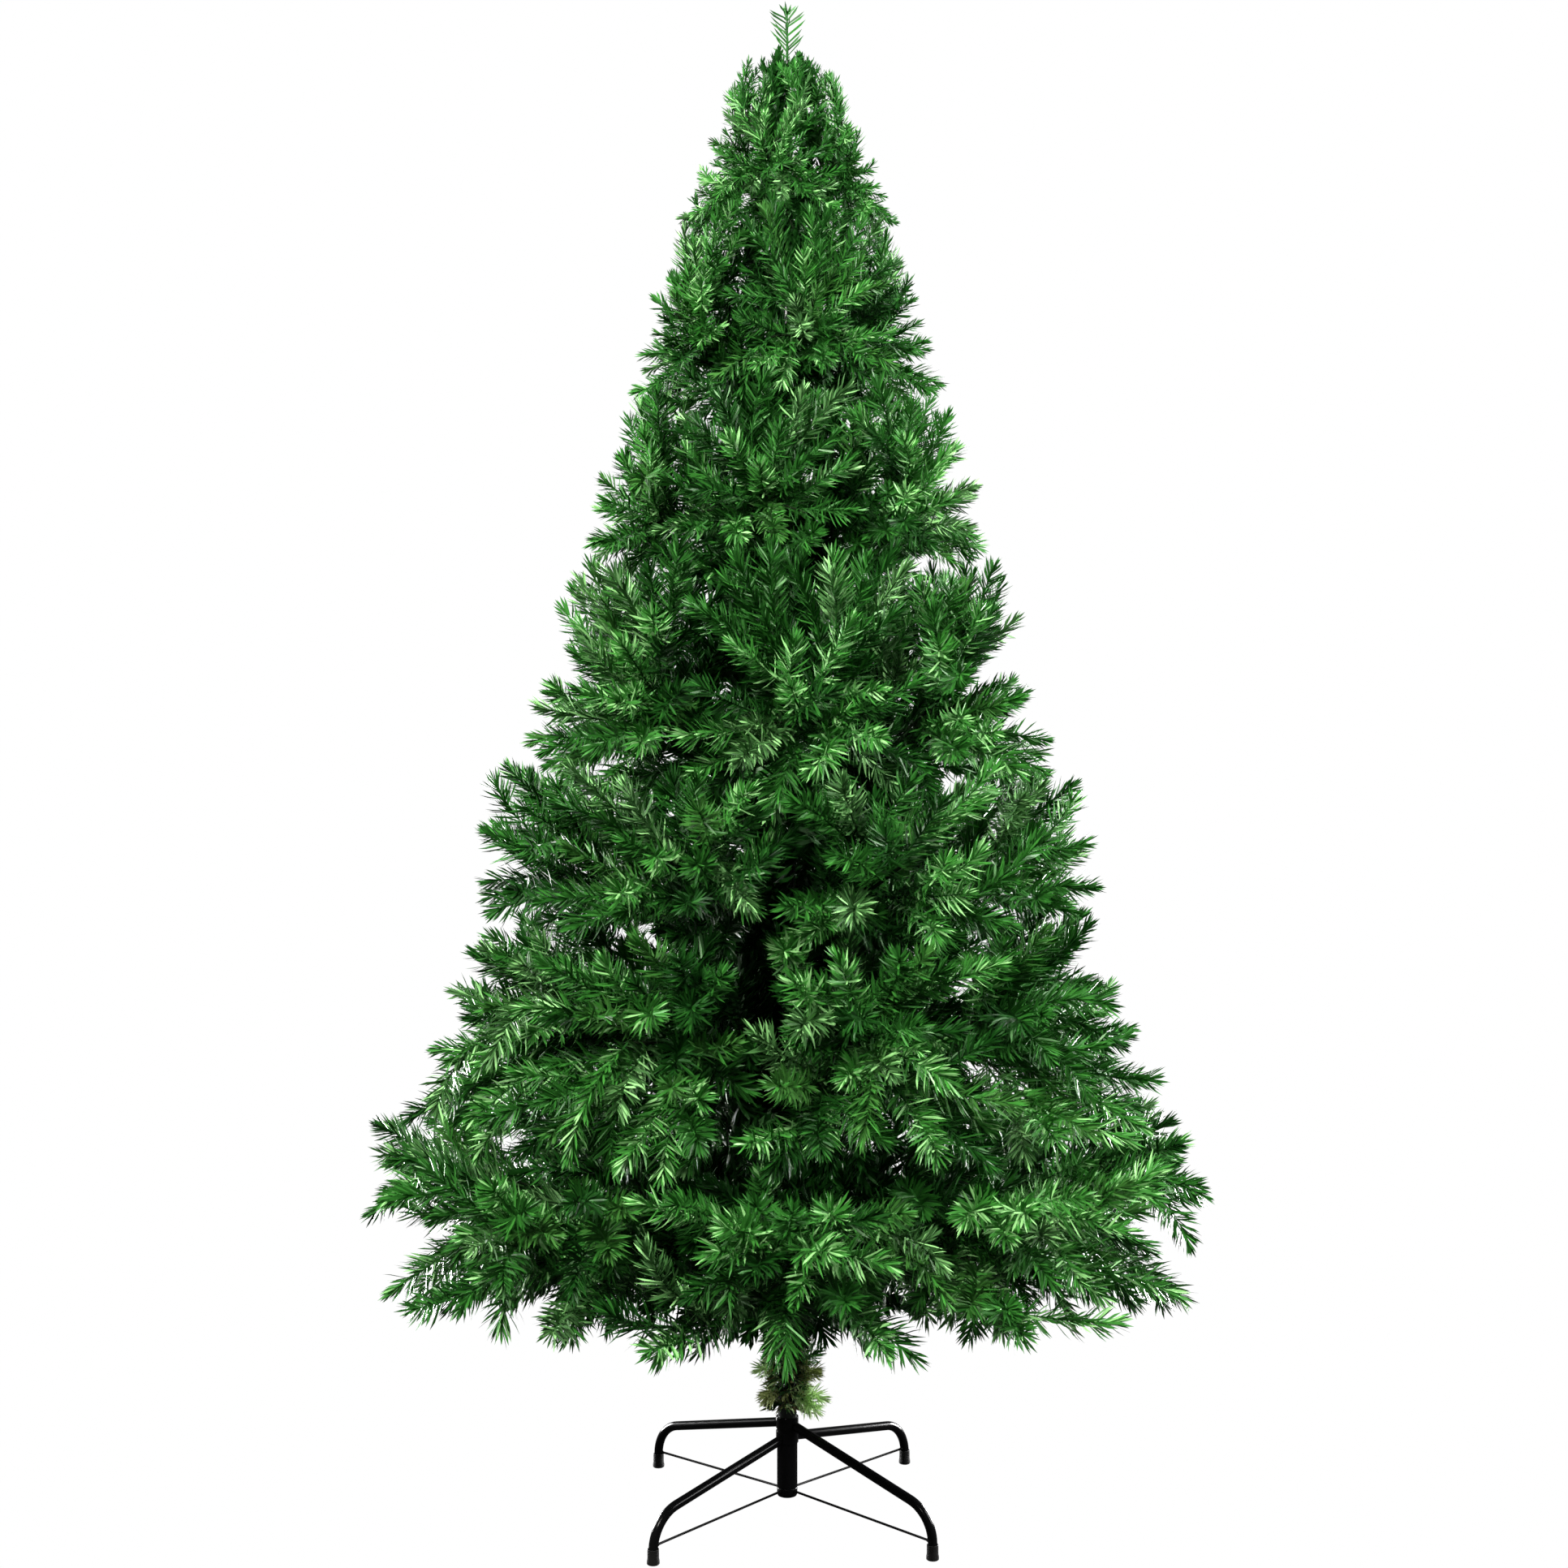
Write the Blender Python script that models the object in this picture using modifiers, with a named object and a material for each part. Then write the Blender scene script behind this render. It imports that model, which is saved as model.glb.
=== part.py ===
"""An artificial Christmas tree of green PVC on a black tubular steel stand.

Metres, +Z up. The origin is on the floor under the pole, and -Y is the front.
The branches stand round the pole in tiers. Each branch is one solid that keeps to its own
space: a wedge of its tier, between two cones. Its stem forks into twigs, and the stem and the
twigs carry toothed blades, each of which stands for a spray of needles.
"""

import math
import random
from collections import namedtuple

import bmesh
import bpy
from mathutils import Matrix, Vector

# Clearance between solids that touch on the real tree
GAP = 0.0003

# The stand's socket, a steel cup that the pole drops into
SOCKET_RADIUS = 0.0142
SOCKET_WALL = 0.0009
SOCKET_BOTTOM = 0.021
SOCKET_FLOOR = 0.003
SOCKET_TOP = 0.132
SOCKET_CHAMFER = 0.003

# The stand's legs: two crossing pairs of bent tube
LEG_RADIUS = 0.00635
LEG_BEND = 0.050
LEG_BEND_STEPS = 6
FOOT_CIRCLE = 0.258
COLLAR_RADIUS = 0.0156
COLLAR_HEIGHT = 0.016

Pair = namedtuple("Pair", "axis_height slope")
UPPER_PAIR = Pair(axis_height=0.124, slope=math.radians(14.0))
LOWER_PAIR = Pair(axis_height=0.104, slope=math.radians(10.0))

Leg = namedtuple("Leg", "name azimuth pair")
LEGS = (
    Leg("back_right", math.radians(47.4), LOWER_PAIR),
    Leg("back_left", math.radians(137.4), UPPER_PAIR),
    Leg("front_left", math.radians(227.4), LOWER_PAIR),
    Leg("front_right", math.radians(317.4), UPPER_PAIR),
)

# The caps on the feet
CAP_RADIUS = 0.0076
CAP_FLARE = 0.0008
CAP_HEIGHT = 0.020
CAP_FLOOR = 0.003
CAP_PLAY = 0.0004

# The thin wire braces, from each leg to the foot of the socket
BRACE_RADIUS = 0.0016
BRACE_LEG_HEIGHT = 0.0235
BRACE_SOCKET_HEIGHT = 0.030

# The pole, in three sections that plug into one another
POLE_RADIUS = 0.013
MIDDLE_POLE_RADIUS = 0.011
TOP_POLE_RADIUS = 0.008
POLE_TIP_RADIUS = 0.0035
FIRST_JOINT = 0.80
SECOND_JOINT = 1.42
TOP_POLE_TAPER = 1.80
POLE_TOP = 2.020
JOINT_STEP = 0.006
ROUND_SIDES = 16

# The garland wound round the foot of the pole
WRAP_BOTTOM = 0.139
WRAP_TOP = 0.300
WRAP_SIDES = 8
WRAP_SKIN = 0.0025
WRAP_NEEDLES = 22
WRAP_NEEDLE_LENGTH = 0.034
WRAP_NEEDLE_RADIUS = 0.0022
WRAP_NEEDLE_LIFT = math.radians(35.0)
WRAP_BARE_TOP = 0.020
GOLDEN_ANGLE = math.pi * (3.0 - math.sqrt(5.0))

# The leader, the bare tip above the topmost tier
TREE_HEIGHT = 2.100
LEADER_RADIUS = 0.0028
LEADER_TIP_RADIUS = 0.0009
LEADER_FIRST_ROW = 0.006
LEADER_LAST_ROW = 0.064
LEADER_ROWS = 9
LEADER_NEEDLE_LENGTH = 0.034
LEADER_NEEDLE_RADIUS = 0.0016
LEADER_NEEDLE_LIFT = math.radians(46.0)

# A tier lies between two cones. Each cone is named by its height and radius where it meets the
# outside of the crown, and by how it rises outwards.
Cone = namedtuple("Cone", "height radius rise")
CONES = (
    Cone(0.338, 0.560, 0.19),
    Cone(0.558, 0.540, 0.10),
    Cone(0.834, 0.435, 0.18),
    Cone(1.036, 0.385, 0.26),
    Cone(1.330, 0.300, 0.34),
    Cone(1.560, 0.225, 0.42),
    Cone(1.790, 0.158, 0.50),
    Cone(2.004, 0.045, -0.40),
)

# The branches of a tier, the azimuth of its first one in degrees, how far the crown reaches at
# the foot and at the head of the tier, and the width of a spray
Tier = namedtuple("Tier", "branches turn foot_reach head_reach spray_width")
TIERS = (
    Tier(8, 0.0, 0.592, 0.582, 0.130),
    Tier(8, 15.0, 0.538, 0.434, 0.125),
    Tier(7, 295.5, 0.448, 0.418, 0.120),
    Tier(6, 276.0, 0.386, 0.304, 0.115),
    Tier(5, 259.0, 0.302, 0.228, 0.105),
    Tier(4, 285.0, 0.230, 0.158, 0.090),
    Tier(3, 250.0, 0.162, 0.074, 0.070),
)

# How a branch grows. Places along it are shares of the crown's reach or of the stem, places
# across it are shares of the wedge's half angle, and places up it shares of the tier's height.
# TWIG_SPRAYS and STEM_SPRAYS say where each spray forks off, and whether it goes up or down.
SPACE_MARGIN = 0.003
SPACE_STEPS = 3
POLE_CLEAR = 0.012
STEM_ROOT_UP = 0.30
STEM_TIP_UP = 0.50
STEM_REACH = 0.50
STEM_ROOT_RADIUS = 0.0050
STEM_TIP_RADIUS = 0.0028
TWIG_SIDES = 3
TWIG_FORKS = (0.42, 0.56)
TWIG_REACH = 0.62
TWIG_ACROSS = 0.48
TWIG_SPRAYS = ((0.70, -1.0), (0.94, 1.0))
STEM_SPRAYS = ((0.84, 1.0), (0.62, -1.0))
TIP_SPRAY_ROOT = 0.96
TWIG_ROOT_RADIUS = 0.0034
TWIG_TIP_RADIUS = 0.0022
STAR_ACROSS = 0.72
STAR_UP = 0.40
STAR_TOP = 0.46
STAR_JITTER = 0.05
STAR_REACH = (0.95, 1.00)
SPRAY_THICK = 0.0064
SPRAY_ROLL = 0.4
END_ON = 0.94
SHORTENED = (1.0, 0.88, 0.76)
SEED = 2025

# The side of a spray from root to tip: how far along it each tooth and notch is, and the share
# of the half width that it reaches. The ridge is where the spray is thickest.
SPRAY_SIDE = ((0.44, 0.94), (0.49, 0.44), (0.74, 0.88), (0.78, 0.30))
SPRAY_RIDGE = 0.30


# Materials

def plain_material(name, colour, roughness, metallic=0.0):
    material = bpy.data.materials.new(name)
    material.use_nodes = True
    shader = material.node_tree.nodes["Principled BSDF"]
    shader.inputs["Base Color"].default_value = (*colour, 1.0)
    shader.inputs["Roughness"].default_value = roughness
    shader.inputs["Metallic"].default_value = metallic
    return material


def make_materials():
    return {
        "steel": plain_material("black_steel", (0.012, 0.012, 0.013), 0.35, 0.3),
        "cap": plain_material("black_cap", (0.015, 0.015, 0.015), 0.60),
        "pole": plain_material("green_pole", (0.018, 0.030, 0.016), 0.45, 0.2),
        "wrap": plain_material("olive_garland", (0.090, 0.100, 0.030), 0.60),
        "needles": plain_material("green_needles", (0.035, 0.125, 0.035), 0.50),
    }


# Objects and meshes

def add_object(name, mesh, material, collection):
    obj = bpy.data.objects.new(name, mesh)
    if material:
        mesh.materials.append(material)
    collection.objects.link(obj)
    return obj


def turned(name, profile, sides, material, collection, closed=False):
    """A turned solid. The profile is (radius, height) pairs that run down its outer side."""
    mesh = bpy.data.meshes.new(name)
    edges = [(i, i + 1) for i in range(len(profile) - 1)]
    if closed:
        edges.append((len(profile) - 1, 0))
    mesh.from_pydata([(radius, 0.0, height) for radius, height in profile], edges, [])
    obj = add_object(name, mesh, material, collection)
    screw = obj.modifiers.new("turn", "SCREW")
    screw.steps = sides
    screw.render_steps = sides
    screw.use_merge_vertices = True
    screw.merge_threshold = 0.00001
    return obj


def tube(name, points, radius, material, collection):
    """A round bar through the points, with filled ends."""
    curve = bpy.data.curves.new(name, "CURVE")
    curve.dimensions = "3D"
    curve.bevel_depth = radius
    curve.bevel_resolution = 2
    curve.use_fill_caps = True
    spline = curve.splines.new("POLY")
    spline.points.add(len(points) - 1)
    for point, place in zip(spline.points, points):
        point.co = (*place, 1.0)
    return add_object(name, curve, material, collection)


def rod(name, start, end, start_radius, end_radius, collection, cut=None):
    """A tapered bar with flat sides, or a needle where end_radius is nought. Its start is cut
    square, or in the plane that cut is the normal of."""
    along = end - start
    bm = bmesh.new()
    bmesh.ops.create_cone(
        bm,
        cap_ends=True,
        segments=TWIG_SIDES,
        radius1=start_radius,
        radius2=end_radius,
        depth=along.length,
        matrix=Matrix.Translation((0.0, 0.0, along.length / 2.0)),
    )
    turn = Vector((0.0, 0.0, 1.0)).rotation_difference(along).to_matrix().to_4x4()
    bm.transform(Matrix.Translation(start) @ turn)
    if cut:
        for vertex in bm.verts:
            if (vertex.co - start).length < (vertex.co - end).length:
                vertex.co -= along * ((vertex.co - start).dot(cut) / along.dot(cut))
    mesh = bpy.data.meshes.new(name)
    bm.to_mesh(mesh)
    bm.free()
    return add_object(name, mesh, None, collection)


def spray_outline(length, width):
    """The outline of a spray in its own plane: root, teeth, tip, and the same teeth back."""
    side = [(along * length, across * width / 2.0) for along, across in SPRAY_SIDE]
    back = [(along, -across) for along, across in reversed(side)]
    return [(0.0, 0.0)] + side + [(length, 0.0)] + back


def frame_along(start, along, facing):
    """The matrix that puts X along a direction and Z as near to another as it can be."""
    x_axis = along.normalized()
    z_axis = (facing - x_axis * facing.dot(x_axis)).normalized()
    y_axis = z_axis.cross(x_axis)
    turn = Matrix((x_axis, y_axis, z_axis)).transposed().to_4x4()
    return Matrix.Translation(start) @ turn


def spray_mesh(placed, length, width):
    """A toothed blade as one closed mesh, put in place by a matrix. It is thickest at its ridge
    and sharp all round its outline."""
    bm = bmesh.new()
    rim = [bm.verts.new((along, across, 0.0)) for along, across in spray_outline(length, width)]
    for lift in (SPRAY_THICK / 2.0, -SPRAY_THICK / 2.0):
        ridge = bm.verts.new((SPRAY_RIDGE * length, 0.0, lift))
        for first, second in zip(rim, rim[1:] + rim[:1]):
            bm.faces.new((first, second, ridge))
    bmesh.ops.recalc_face_normals(bm, faces=bm.faces)
    bm.transform(placed)
    mesh = bpy.data.meshes.new("spray")
    bm.to_mesh(mesh)
    bm.free()
    return mesh


def fuse(name, first, others, material, collection):
    """One solid from a first object and a collection of others, which are then removed."""
    union = first.modifiers.new("fuse", "BOOLEAN")
    union.operation = "UNION"
    union.solver = "EXACT"
    union.operand_type = "COLLECTION"
    union.collection = others
    evaluated = first.evaluated_get(bpy.context.evaluated_depsgraph_get())
    mesh = bpy.data.meshes.new_from_object(evaluated)
    mesh.name = name
    for obj in [first, *others.objects]:
        bpy.data.objects.remove(obj)
    bpy.data.collections.remove(others)
    keep_outer_skin(mesh)
    mesh.materials.clear()
    return add_object(name, mesh, material, collection)


def keep_outer_skin(mesh):
    """Drops loose scraps and sealed hollows, and triangulates what stays."""
    bm = bmesh.new()
    bm.from_mesh(mesh)
    shells = linked_shells(bm)
    largest = max(shells, key=len)
    scraps = [face for shell in shells if shell is not largest for face in shell]
    bmesh.ops.delete(bm, geom=scraps, context="FACES")
    bmesh.ops.triangulate(bm, faces=bm.faces)
    bm.to_mesh(mesh)
    bm.free()


def linked_shells(bm):
    """The mesh's faces, as one list for each separate shell."""
    seen = set()
    shells = []
    for first in bm.faces:
        if first in seen:
            continue
        seen.add(first)
        shell = [first]
        for face in shell:
            for edge in face.edges:
                for other in edge.link_faces:
                    if other not in seen:
                        seen.add(other)
                        shell.append(other)
        shells.append(shell)
    return shells


def scratch_collection():
    made = bpy.data.collections.new("to_fuse")
    bpy.context.scene.collection.children.link(made)
    return made


# Places round the pole

def polar(radius, azimuth, height):
    return Vector((radius * math.cos(azimuth), radius * math.sin(azimuth), height))


def outward(azimuth):
    return Vector((math.cos(azimuth), math.sin(azimuth), 0.0))


# The stand

def make_socket(materials, collection):
    inner = SOCKET_RADIUS - SOCKET_WALL
    floor = SOCKET_BOTTOM + SOCKET_FLOOR
    profile = [
        (0.0, floor),
        (inner, floor),
        (inner, SOCKET_TOP),
        (SOCKET_RADIUS, SOCKET_TOP),
        (SOCKET_RADIUS, SOCKET_BOTTOM + SOCKET_CHAMFER),
        (SOCKET_RADIUS - SOCKET_CHAMFER, SOCKET_BOTTOM),
        (0.0, SOCKET_BOTTOM),
    ]
    turned("stand_socket", profile, ROUND_SIDES, materials["steel"], collection)


def make_collar(name, pair, materials, collection):
    inner = SOCKET_RADIUS + GAP
    low = pair.axis_height - COLLAR_HEIGHT / 2.0
    high = pair.axis_height + COLLAR_HEIGHT / 2.0
    profile = [(inner, high), (COLLAR_RADIUS, high), (COLLAR_RADIUS, low), (inner, low)]
    turned(name, profile, ROUND_SIDES, materials["steel"], collection, closed=True)


def bend_centre(pair):
    """The radius and height of the middle of a leg's bend."""
    radius = FOOT_CIRCLE - LEG_BEND
    start = radius + LEG_BEND * math.sin(pair.slope)
    start_height = pair.axis_height - start * math.tan(pair.slope)
    return radius, start_height - LEG_BEND * math.cos(pair.slope)


def leg_points(leg):
    """From the collar straight down the slope, round the bend, and down into the cap."""
    slope = leg.pair.slope
    start_radius = COLLAR_RADIUS + GAP + LEG_RADIUS * math.sin(slope)
    start_height = leg.pair.axis_height - start_radius * math.tan(slope)
    centre_radius, centre_height = bend_centre(leg.pair)
    points = [polar(start_radius, leg.azimuth, start_height)]
    for step in range(LEG_BEND_STEPS + 1):
        turn = slope + (math.pi / 2.0 - slope) * step / LEG_BEND_STEPS
        radius = centre_radius + LEG_BEND * math.sin(turn)
        height = centre_height + LEG_BEND * math.cos(turn)
        points.append(polar(radius, leg.azimuth, height))
    points.append(polar(FOOT_CIRCLE, leg.azimuth, CAP_FLOOR + GAP))
    return points


def make_leg(leg, materials, collection):
    name = "stand_leg_" + leg.name
    tube(name, leg_points(leg), LEG_RADIUS, materials["steel"], collection)


def make_cap(leg, materials, collection):
    bore = LEG_RADIUS + CAP_PLAY
    foot = CAP_RADIUS + CAP_FLARE
    profile = [
        (0.0, CAP_FLOOR),
        (bore, CAP_FLOOR),
        (bore, CAP_HEIGHT),
        (CAP_RADIUS, CAP_HEIGHT),
        (foot, CAP_FLOOR),
        (foot, 0.0),
        (0.0, 0.0),
    ]
    cap = turned("stand_foot_" + leg.name, profile, ROUND_SIDES, materials["cap"], collection)
    cap.location = polar(FOOT_CIRCLE, leg.azimuth, 0.0)
    cap.rotation_euler.z = leg.azimuth


def make_brace(leg, materials, collection):
    """A wire from the socket to the inner side of the leg, where the leg is still bending."""
    centre_radius, centre_height = bend_centre(leg.pair)
    above = BRACE_LEG_HEIGHT + BRACE_RADIUS - centre_height
    leg_radius = centre_radius + math.sqrt(LEG_BEND**2 - above**2)
    outer = polar(leg_radius - LEG_RADIUS - GAP, leg.azimuth, BRACE_LEG_HEIGHT)
    inner = polar(SOCKET_RADIUS + GAP, leg.azimuth, BRACE_SOCKET_HEIGHT)
    name = "stand_brace_" + leg.name
    tube(name, [inner, outer], BRACE_RADIUS, materials["steel"], collection)


def make_stand(materials, collection):
    make_socket(materials, collection)
    make_collar("stand_collar_upper", UPPER_PAIR, materials, collection)
    make_collar("stand_collar_lower", LOWER_PAIR, materials, collection)
    for leg in LEGS:
        make_leg(leg, materials, collection)
        make_cap(leg, materials, collection)
        make_brace(leg, materials, collection)


# The pole, its garland and the leader

def make_pole(materials, collection):
    profile = [
        (0.0, POLE_TOP),
        (POLE_TIP_RADIUS, POLE_TOP),
        (TOP_POLE_RADIUS, TOP_POLE_TAPER),
        (TOP_POLE_RADIUS, SECOND_JOINT + JOINT_STEP),
        (MIDDLE_POLE_RADIUS, SECOND_JOINT),
        (MIDDLE_POLE_RADIUS, FIRST_JOINT + JOINT_STEP),
        (POLE_RADIUS, FIRST_JOINT),
        (POLE_RADIUS, SOCKET_BOTTOM + SOCKET_FLOOR + GAP),
        (0.0, SOCKET_BOTTOM + SOCKET_FLOOR + GAP),
    ]
    turned("trunk_pole", profile, ROUND_SIDES, materials["pole"], collection)


def pole_radius(height):
    """The pole's radius at a height above the socket."""
    if height < FIRST_JOINT:
        return POLE_RADIUS
    if height < SECOND_JOINT:
        return MIDDLE_POLE_RADIUS
    if height < TOP_POLE_TAPER:
        return TOP_POLE_RADIUS
    share = (height - TOP_POLE_TAPER) / (POLE_TOP - TOP_POLE_TAPER)
    return TOP_POLE_RADIUS + share * (POLE_TIP_RADIUS - TOP_POLE_RADIUS)


def make_wrap(materials, collection):
    """A sleeve of short bristles, wound up the pole between the stand and the branches."""
    inner = (POLE_RADIUS + GAP) / math.cos(math.pi / WRAP_SIDES)
    outer = inner + WRAP_SKIN
    profile = [(inner, WRAP_TOP), (outer, WRAP_TOP), (outer, WRAP_BOTTOM), (inner, WRAP_BOTTOM)]
    others = scratch_collection()
    sleeve = turned("wrap", profile, WRAP_SIDES, None, collection, closed=True)
    for number in range(WRAP_NEEDLES):
        azimuth = number * GOLDEN_ANGLE
        share = (number + 0.5) / WRAP_NEEDLES
        height = WRAP_BOTTOM + share * (WRAP_TOP - WRAP_BARE_TOP - WRAP_BOTTOM)
        root = polar(inner + WRAP_SKIN / 2.0, azimuth, height)
        run = outward(azimuth) * math.cos(WRAP_NEEDLE_LIFT)
        rise = Vector((0.0, 0.0, math.sin(WRAP_NEEDLE_LIFT)))
        tip = root + (run + rise) * WRAP_NEEDLE_LENGTH
        rod("bristle", root, tip, WRAP_NEEDLE_RADIUS, 0.0, others)
    fuse("trunk_wrap", sleeve, others, materials["wrap"], collection)


def make_leader(materials, collection):
    """The tip of the tree: a slim stem with pairs of needles that point up."""
    foot = Vector((0.0, 0.0, POLE_TOP + GAP))
    head = Vector((0.0, 0.0, TREE_HEIGHT))
    others = scratch_collection()
    stem = rod("leader", foot, head, LEADER_RADIUS, LEADER_TIP_RADIUS, collection)
    step = (LEADER_LAST_ROW - LEADER_FIRST_ROW) / (LEADER_ROWS - 1)
    for row in range(LEADER_ROWS):
        height = POLE_TOP + LEADER_FIRST_ROW + row * step
        for side in (0.0, math.pi):
            azimuth = row * GOLDEN_ANGLE + side
            root = Vector((0.0, 0.0, height))
            run = outward(azimuth) * math.cos(LEADER_NEEDLE_LIFT)
            rise = Vector((0.0, 0.0, math.sin(LEADER_NEEDLE_LIFT)))
            length = min(LEADER_NEEDLE_LENGTH, (head.z - height) / math.sin(LEADER_NEEDLE_LIFT))
            tip = root + (run + rise) * length
            rod("needle", root, tip, LEADER_NEEDLE_RADIUS, 0.0, others)
    fuse("leader_tip", stem, others, materials["needles"], collection)


# The branches

def cone_height(cone, radius):
    return cone.height + cone.rise * (radius - cone.radius)


def tier_reach(number, height):
    """How far the crown reaches at a height in a tier."""
    tier = TIERS[number]
    low = CONES[number].height
    share = (height - low) / (CONES[number + 1].height - low)
    share = min(1.0, max(0.0, share))
    return tier.foot_reach + share * (tier.head_reach - tier.foot_reach)


class Space:
    """The wedge of a tier that one branch keeps to."""

    def __init__(self, number, branch):
        self.number = number
        self.tier = TIERS[number]
        self.azimuth = math.radians(self.tier.turn + 360.0 * branch / self.tier.branches)
        self.half_angle = math.pi / self.tier.branches

    def floor(self, radius):
        return cone_height(CONES[self.number], radius) + SPACE_MARGIN

    def ceiling(self, radius):
        return cone_height(CONES[self.number + 1], radius) - SPACE_MARGIN

    def point(self, reach_share, across, up):
        """A point by its share of the reach, and its places across (-1 to 1) and up (0 to 1)."""
        radius = TIERS[self.number].foot_reach
        for _ in range(SPACE_STEPS):
            height = self.floor(radius) + up * (self.ceiling(radius) - self.floor(radius))
            radius = reach_share * tier_reach(self.number, height)
        turn = across * (self.half_angle - SPACE_MARGIN / radius)
        return polar(radius, self.azimuth + turn, height)

    def holds(self, place):
        radius = math.hypot(place.x, place.y)
        if radius < pole_radius(place.z) + POLE_CLEAR:
            return False
        if not self.floor(radius) <= place.z <= self.ceiling(radius):
            return False
        if radius > tier_reach(self.number, place.z) + SPACE_MARGIN:
            return False
        turn = math.atan2(place.y, place.x) - self.azimuth
        turn = math.atan2(math.sin(turn), math.cos(turn))
        beside = radius * math.sin(self.half_angle - abs(turn))
        return abs(turn) < self.half_angle and beside >= SPACE_MARGIN


def star_target(space, across, up, chance):
    """A spray's tip on the outside of the crown, on the star round the branch's own tip."""
    across += chance.uniform(-STAR_JITTER, STAR_JITTER)
    up += chance.uniform(-STAR_JITTER, STAR_JITTER) / 2.0
    return space.point(chance.uniform(*STAR_REACH), across, up)


def grow_spray(space, root, target, chance, others):
    """A spray from a root towards a target. It is tried shorter if it would leave the branch's
    space, and then left out."""
    along = (target - root).normalized()
    facing = outward(space.azimuth)
    if along.dot(facing) > END_ON:
        facing = Vector((0.0, 0.0, 1.0))
    roll = Matrix.Rotation(chance.uniform(-SPRAY_ROLL, SPRAY_ROLL), 3, along)
    placed = frame_along(root, along, roll @ facing)
    for share in SHORTENED:
        length = share * (target - root).length
        mesh = spray_mesh(placed, length, share * space.tier.spray_width)
        if all(space.holds(vertex.co) for vertex in mesh.vertices):
            add_object("spray", mesh, None, others)
            return
        bpy.data.meshes.remove(mesh)


def grow_twig(space, root, side, chance, others):
    """A twig to one side of the stem, with two sprays that spread up and down from it."""
    tip = space.point(TWIG_REACH, side * TWIG_ACROSS, STEM_TIP_UP)
    rod("twig", root, tip, TWIG_ROOT_RADIUS, TWIG_TIP_RADIUS, others)
    for share, lift in TWIG_SPRAYS:
        target = star_target(space, side * STAR_ACROSS, 0.5 + lift * STAR_UP, chance)
        grow_spray(space, root.lerp(tip, share), target, chance, others)


def make_branch(number, branch, materials, collection):
    """One branch: a stem from the pole, twigs, and sprays on them, fused into one solid."""
    space = Space(number, branch)
    chance = random.Random(SEED + 100 * number + branch)
    low = space.floor(POLE_RADIUS)
    high = space.ceiling(POLE_RADIUS)
    root_height = low + STEM_ROOT_UP * (high - low)
    stem_start = polar(pole_radius(root_height) + GAP, space.azimuth, root_height)
    stem_end = space.point(STEM_REACH, 0.0, STEM_TIP_UP)
    others = scratch_collection()
    cut = outward(space.azimuth)
    stem = rod("stem", stem_start, stem_end, STEM_ROOT_RADIUS, STEM_TIP_RADIUS, collection, cut)
    tip_root = stem_start.lerp(stem_end, TIP_SPRAY_ROOT)
    grow_spray(space, tip_root, space.point(1.0, 0.0, STEM_TIP_UP), chance, others)
    for share, side in zip(TWIG_FORKS, (-1.0, 1.0)):
        grow_twig(space, stem_start.lerp(stem_end, share), side, chance, others)
    for share, lift in STEM_SPRAYS:
        root = stem_start.lerp(stem_end, share)
        target = star_target(space, 0.0, 0.5 + lift * STAR_TOP, chance)
        grow_spray(space, root, target, chance, others)
    name = f"tier{number + 1}_branch{branch + 1}"
    fuse(name, stem, others, materials["needles"], collection)


# The whole tree

def clear_scene():
    for obj in list(bpy.data.objects):
        bpy.data.objects.remove(obj)


def main():
    clear_scene()
    collection = bpy.data.collections.new("christmas_tree")
    bpy.context.scene.collection.children.link(collection)
    materials = make_materials()
    make_stand(materials, collection)
    make_pole(materials, collection)
    make_wrap(materials, collection)
    make_leader(materials, collection)
    for number, tier in enumerate(TIERS):
        for branch in range(tier.branches):
            make_branch(number, branch, materials, collection)


main()
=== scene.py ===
"""The looks of an artificial Christmas tree of green PVC on a black tubular steel stand.

Metres, +Z up, -Y is the front. Each branch grows again here by the source's rule: a bough in
its wedge of a tier, with tips that fork off it at knots and reach the crown's outside. The tips
are dressed with flat PVC needles. The stand and the pole are remodelled with smooth surfaces.
"""

import math
import random
from collections import namedtuple

import bpy
import numpy as np
from mathutils import Matrix, Vector


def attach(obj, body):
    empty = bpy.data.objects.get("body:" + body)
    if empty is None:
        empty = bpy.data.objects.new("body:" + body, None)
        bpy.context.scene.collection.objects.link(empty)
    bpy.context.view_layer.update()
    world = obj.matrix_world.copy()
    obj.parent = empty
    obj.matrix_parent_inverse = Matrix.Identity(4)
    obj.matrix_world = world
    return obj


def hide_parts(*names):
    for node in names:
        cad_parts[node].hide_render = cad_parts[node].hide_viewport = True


BODY = "root"
SEED = 2025

# The stand, as in the source
GAP = 0.0003
SOCKET_RADIUS = 0.0142
SOCKET_WALL = 0.0009
SOCKET_BOTTOM = 0.021
SOCKET_FLOOR = 0.003
SOCKET_TOP = 0.132
LEG_RADIUS = 0.00635
LEG_BEND = 0.050
FOOT_CIRCLE = 0.258
COLLAR_RADIUS = 0.0156
COLLAR_HEIGHT = 0.016
CAP_RADIUS = 0.0076
CAP_FLARE = 0.0008
CAP_HEIGHT = 0.020
CAP_FLOOR = 0.003
CAP_PLAY = 0.0004
BRACE_RADIUS = 0.0016
BRACE_LEG_HEIGHT = 0.0235
BRACE_SOCKET_HEIGHT = 0.030

Pair = namedtuple("Pair", "axis_height slope")
UPPER_PAIR = Pair(axis_height=0.124, slope=math.radians(14.0))
LOWER_PAIR = Pair(axis_height=0.104, slope=math.radians(10.0))

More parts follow.
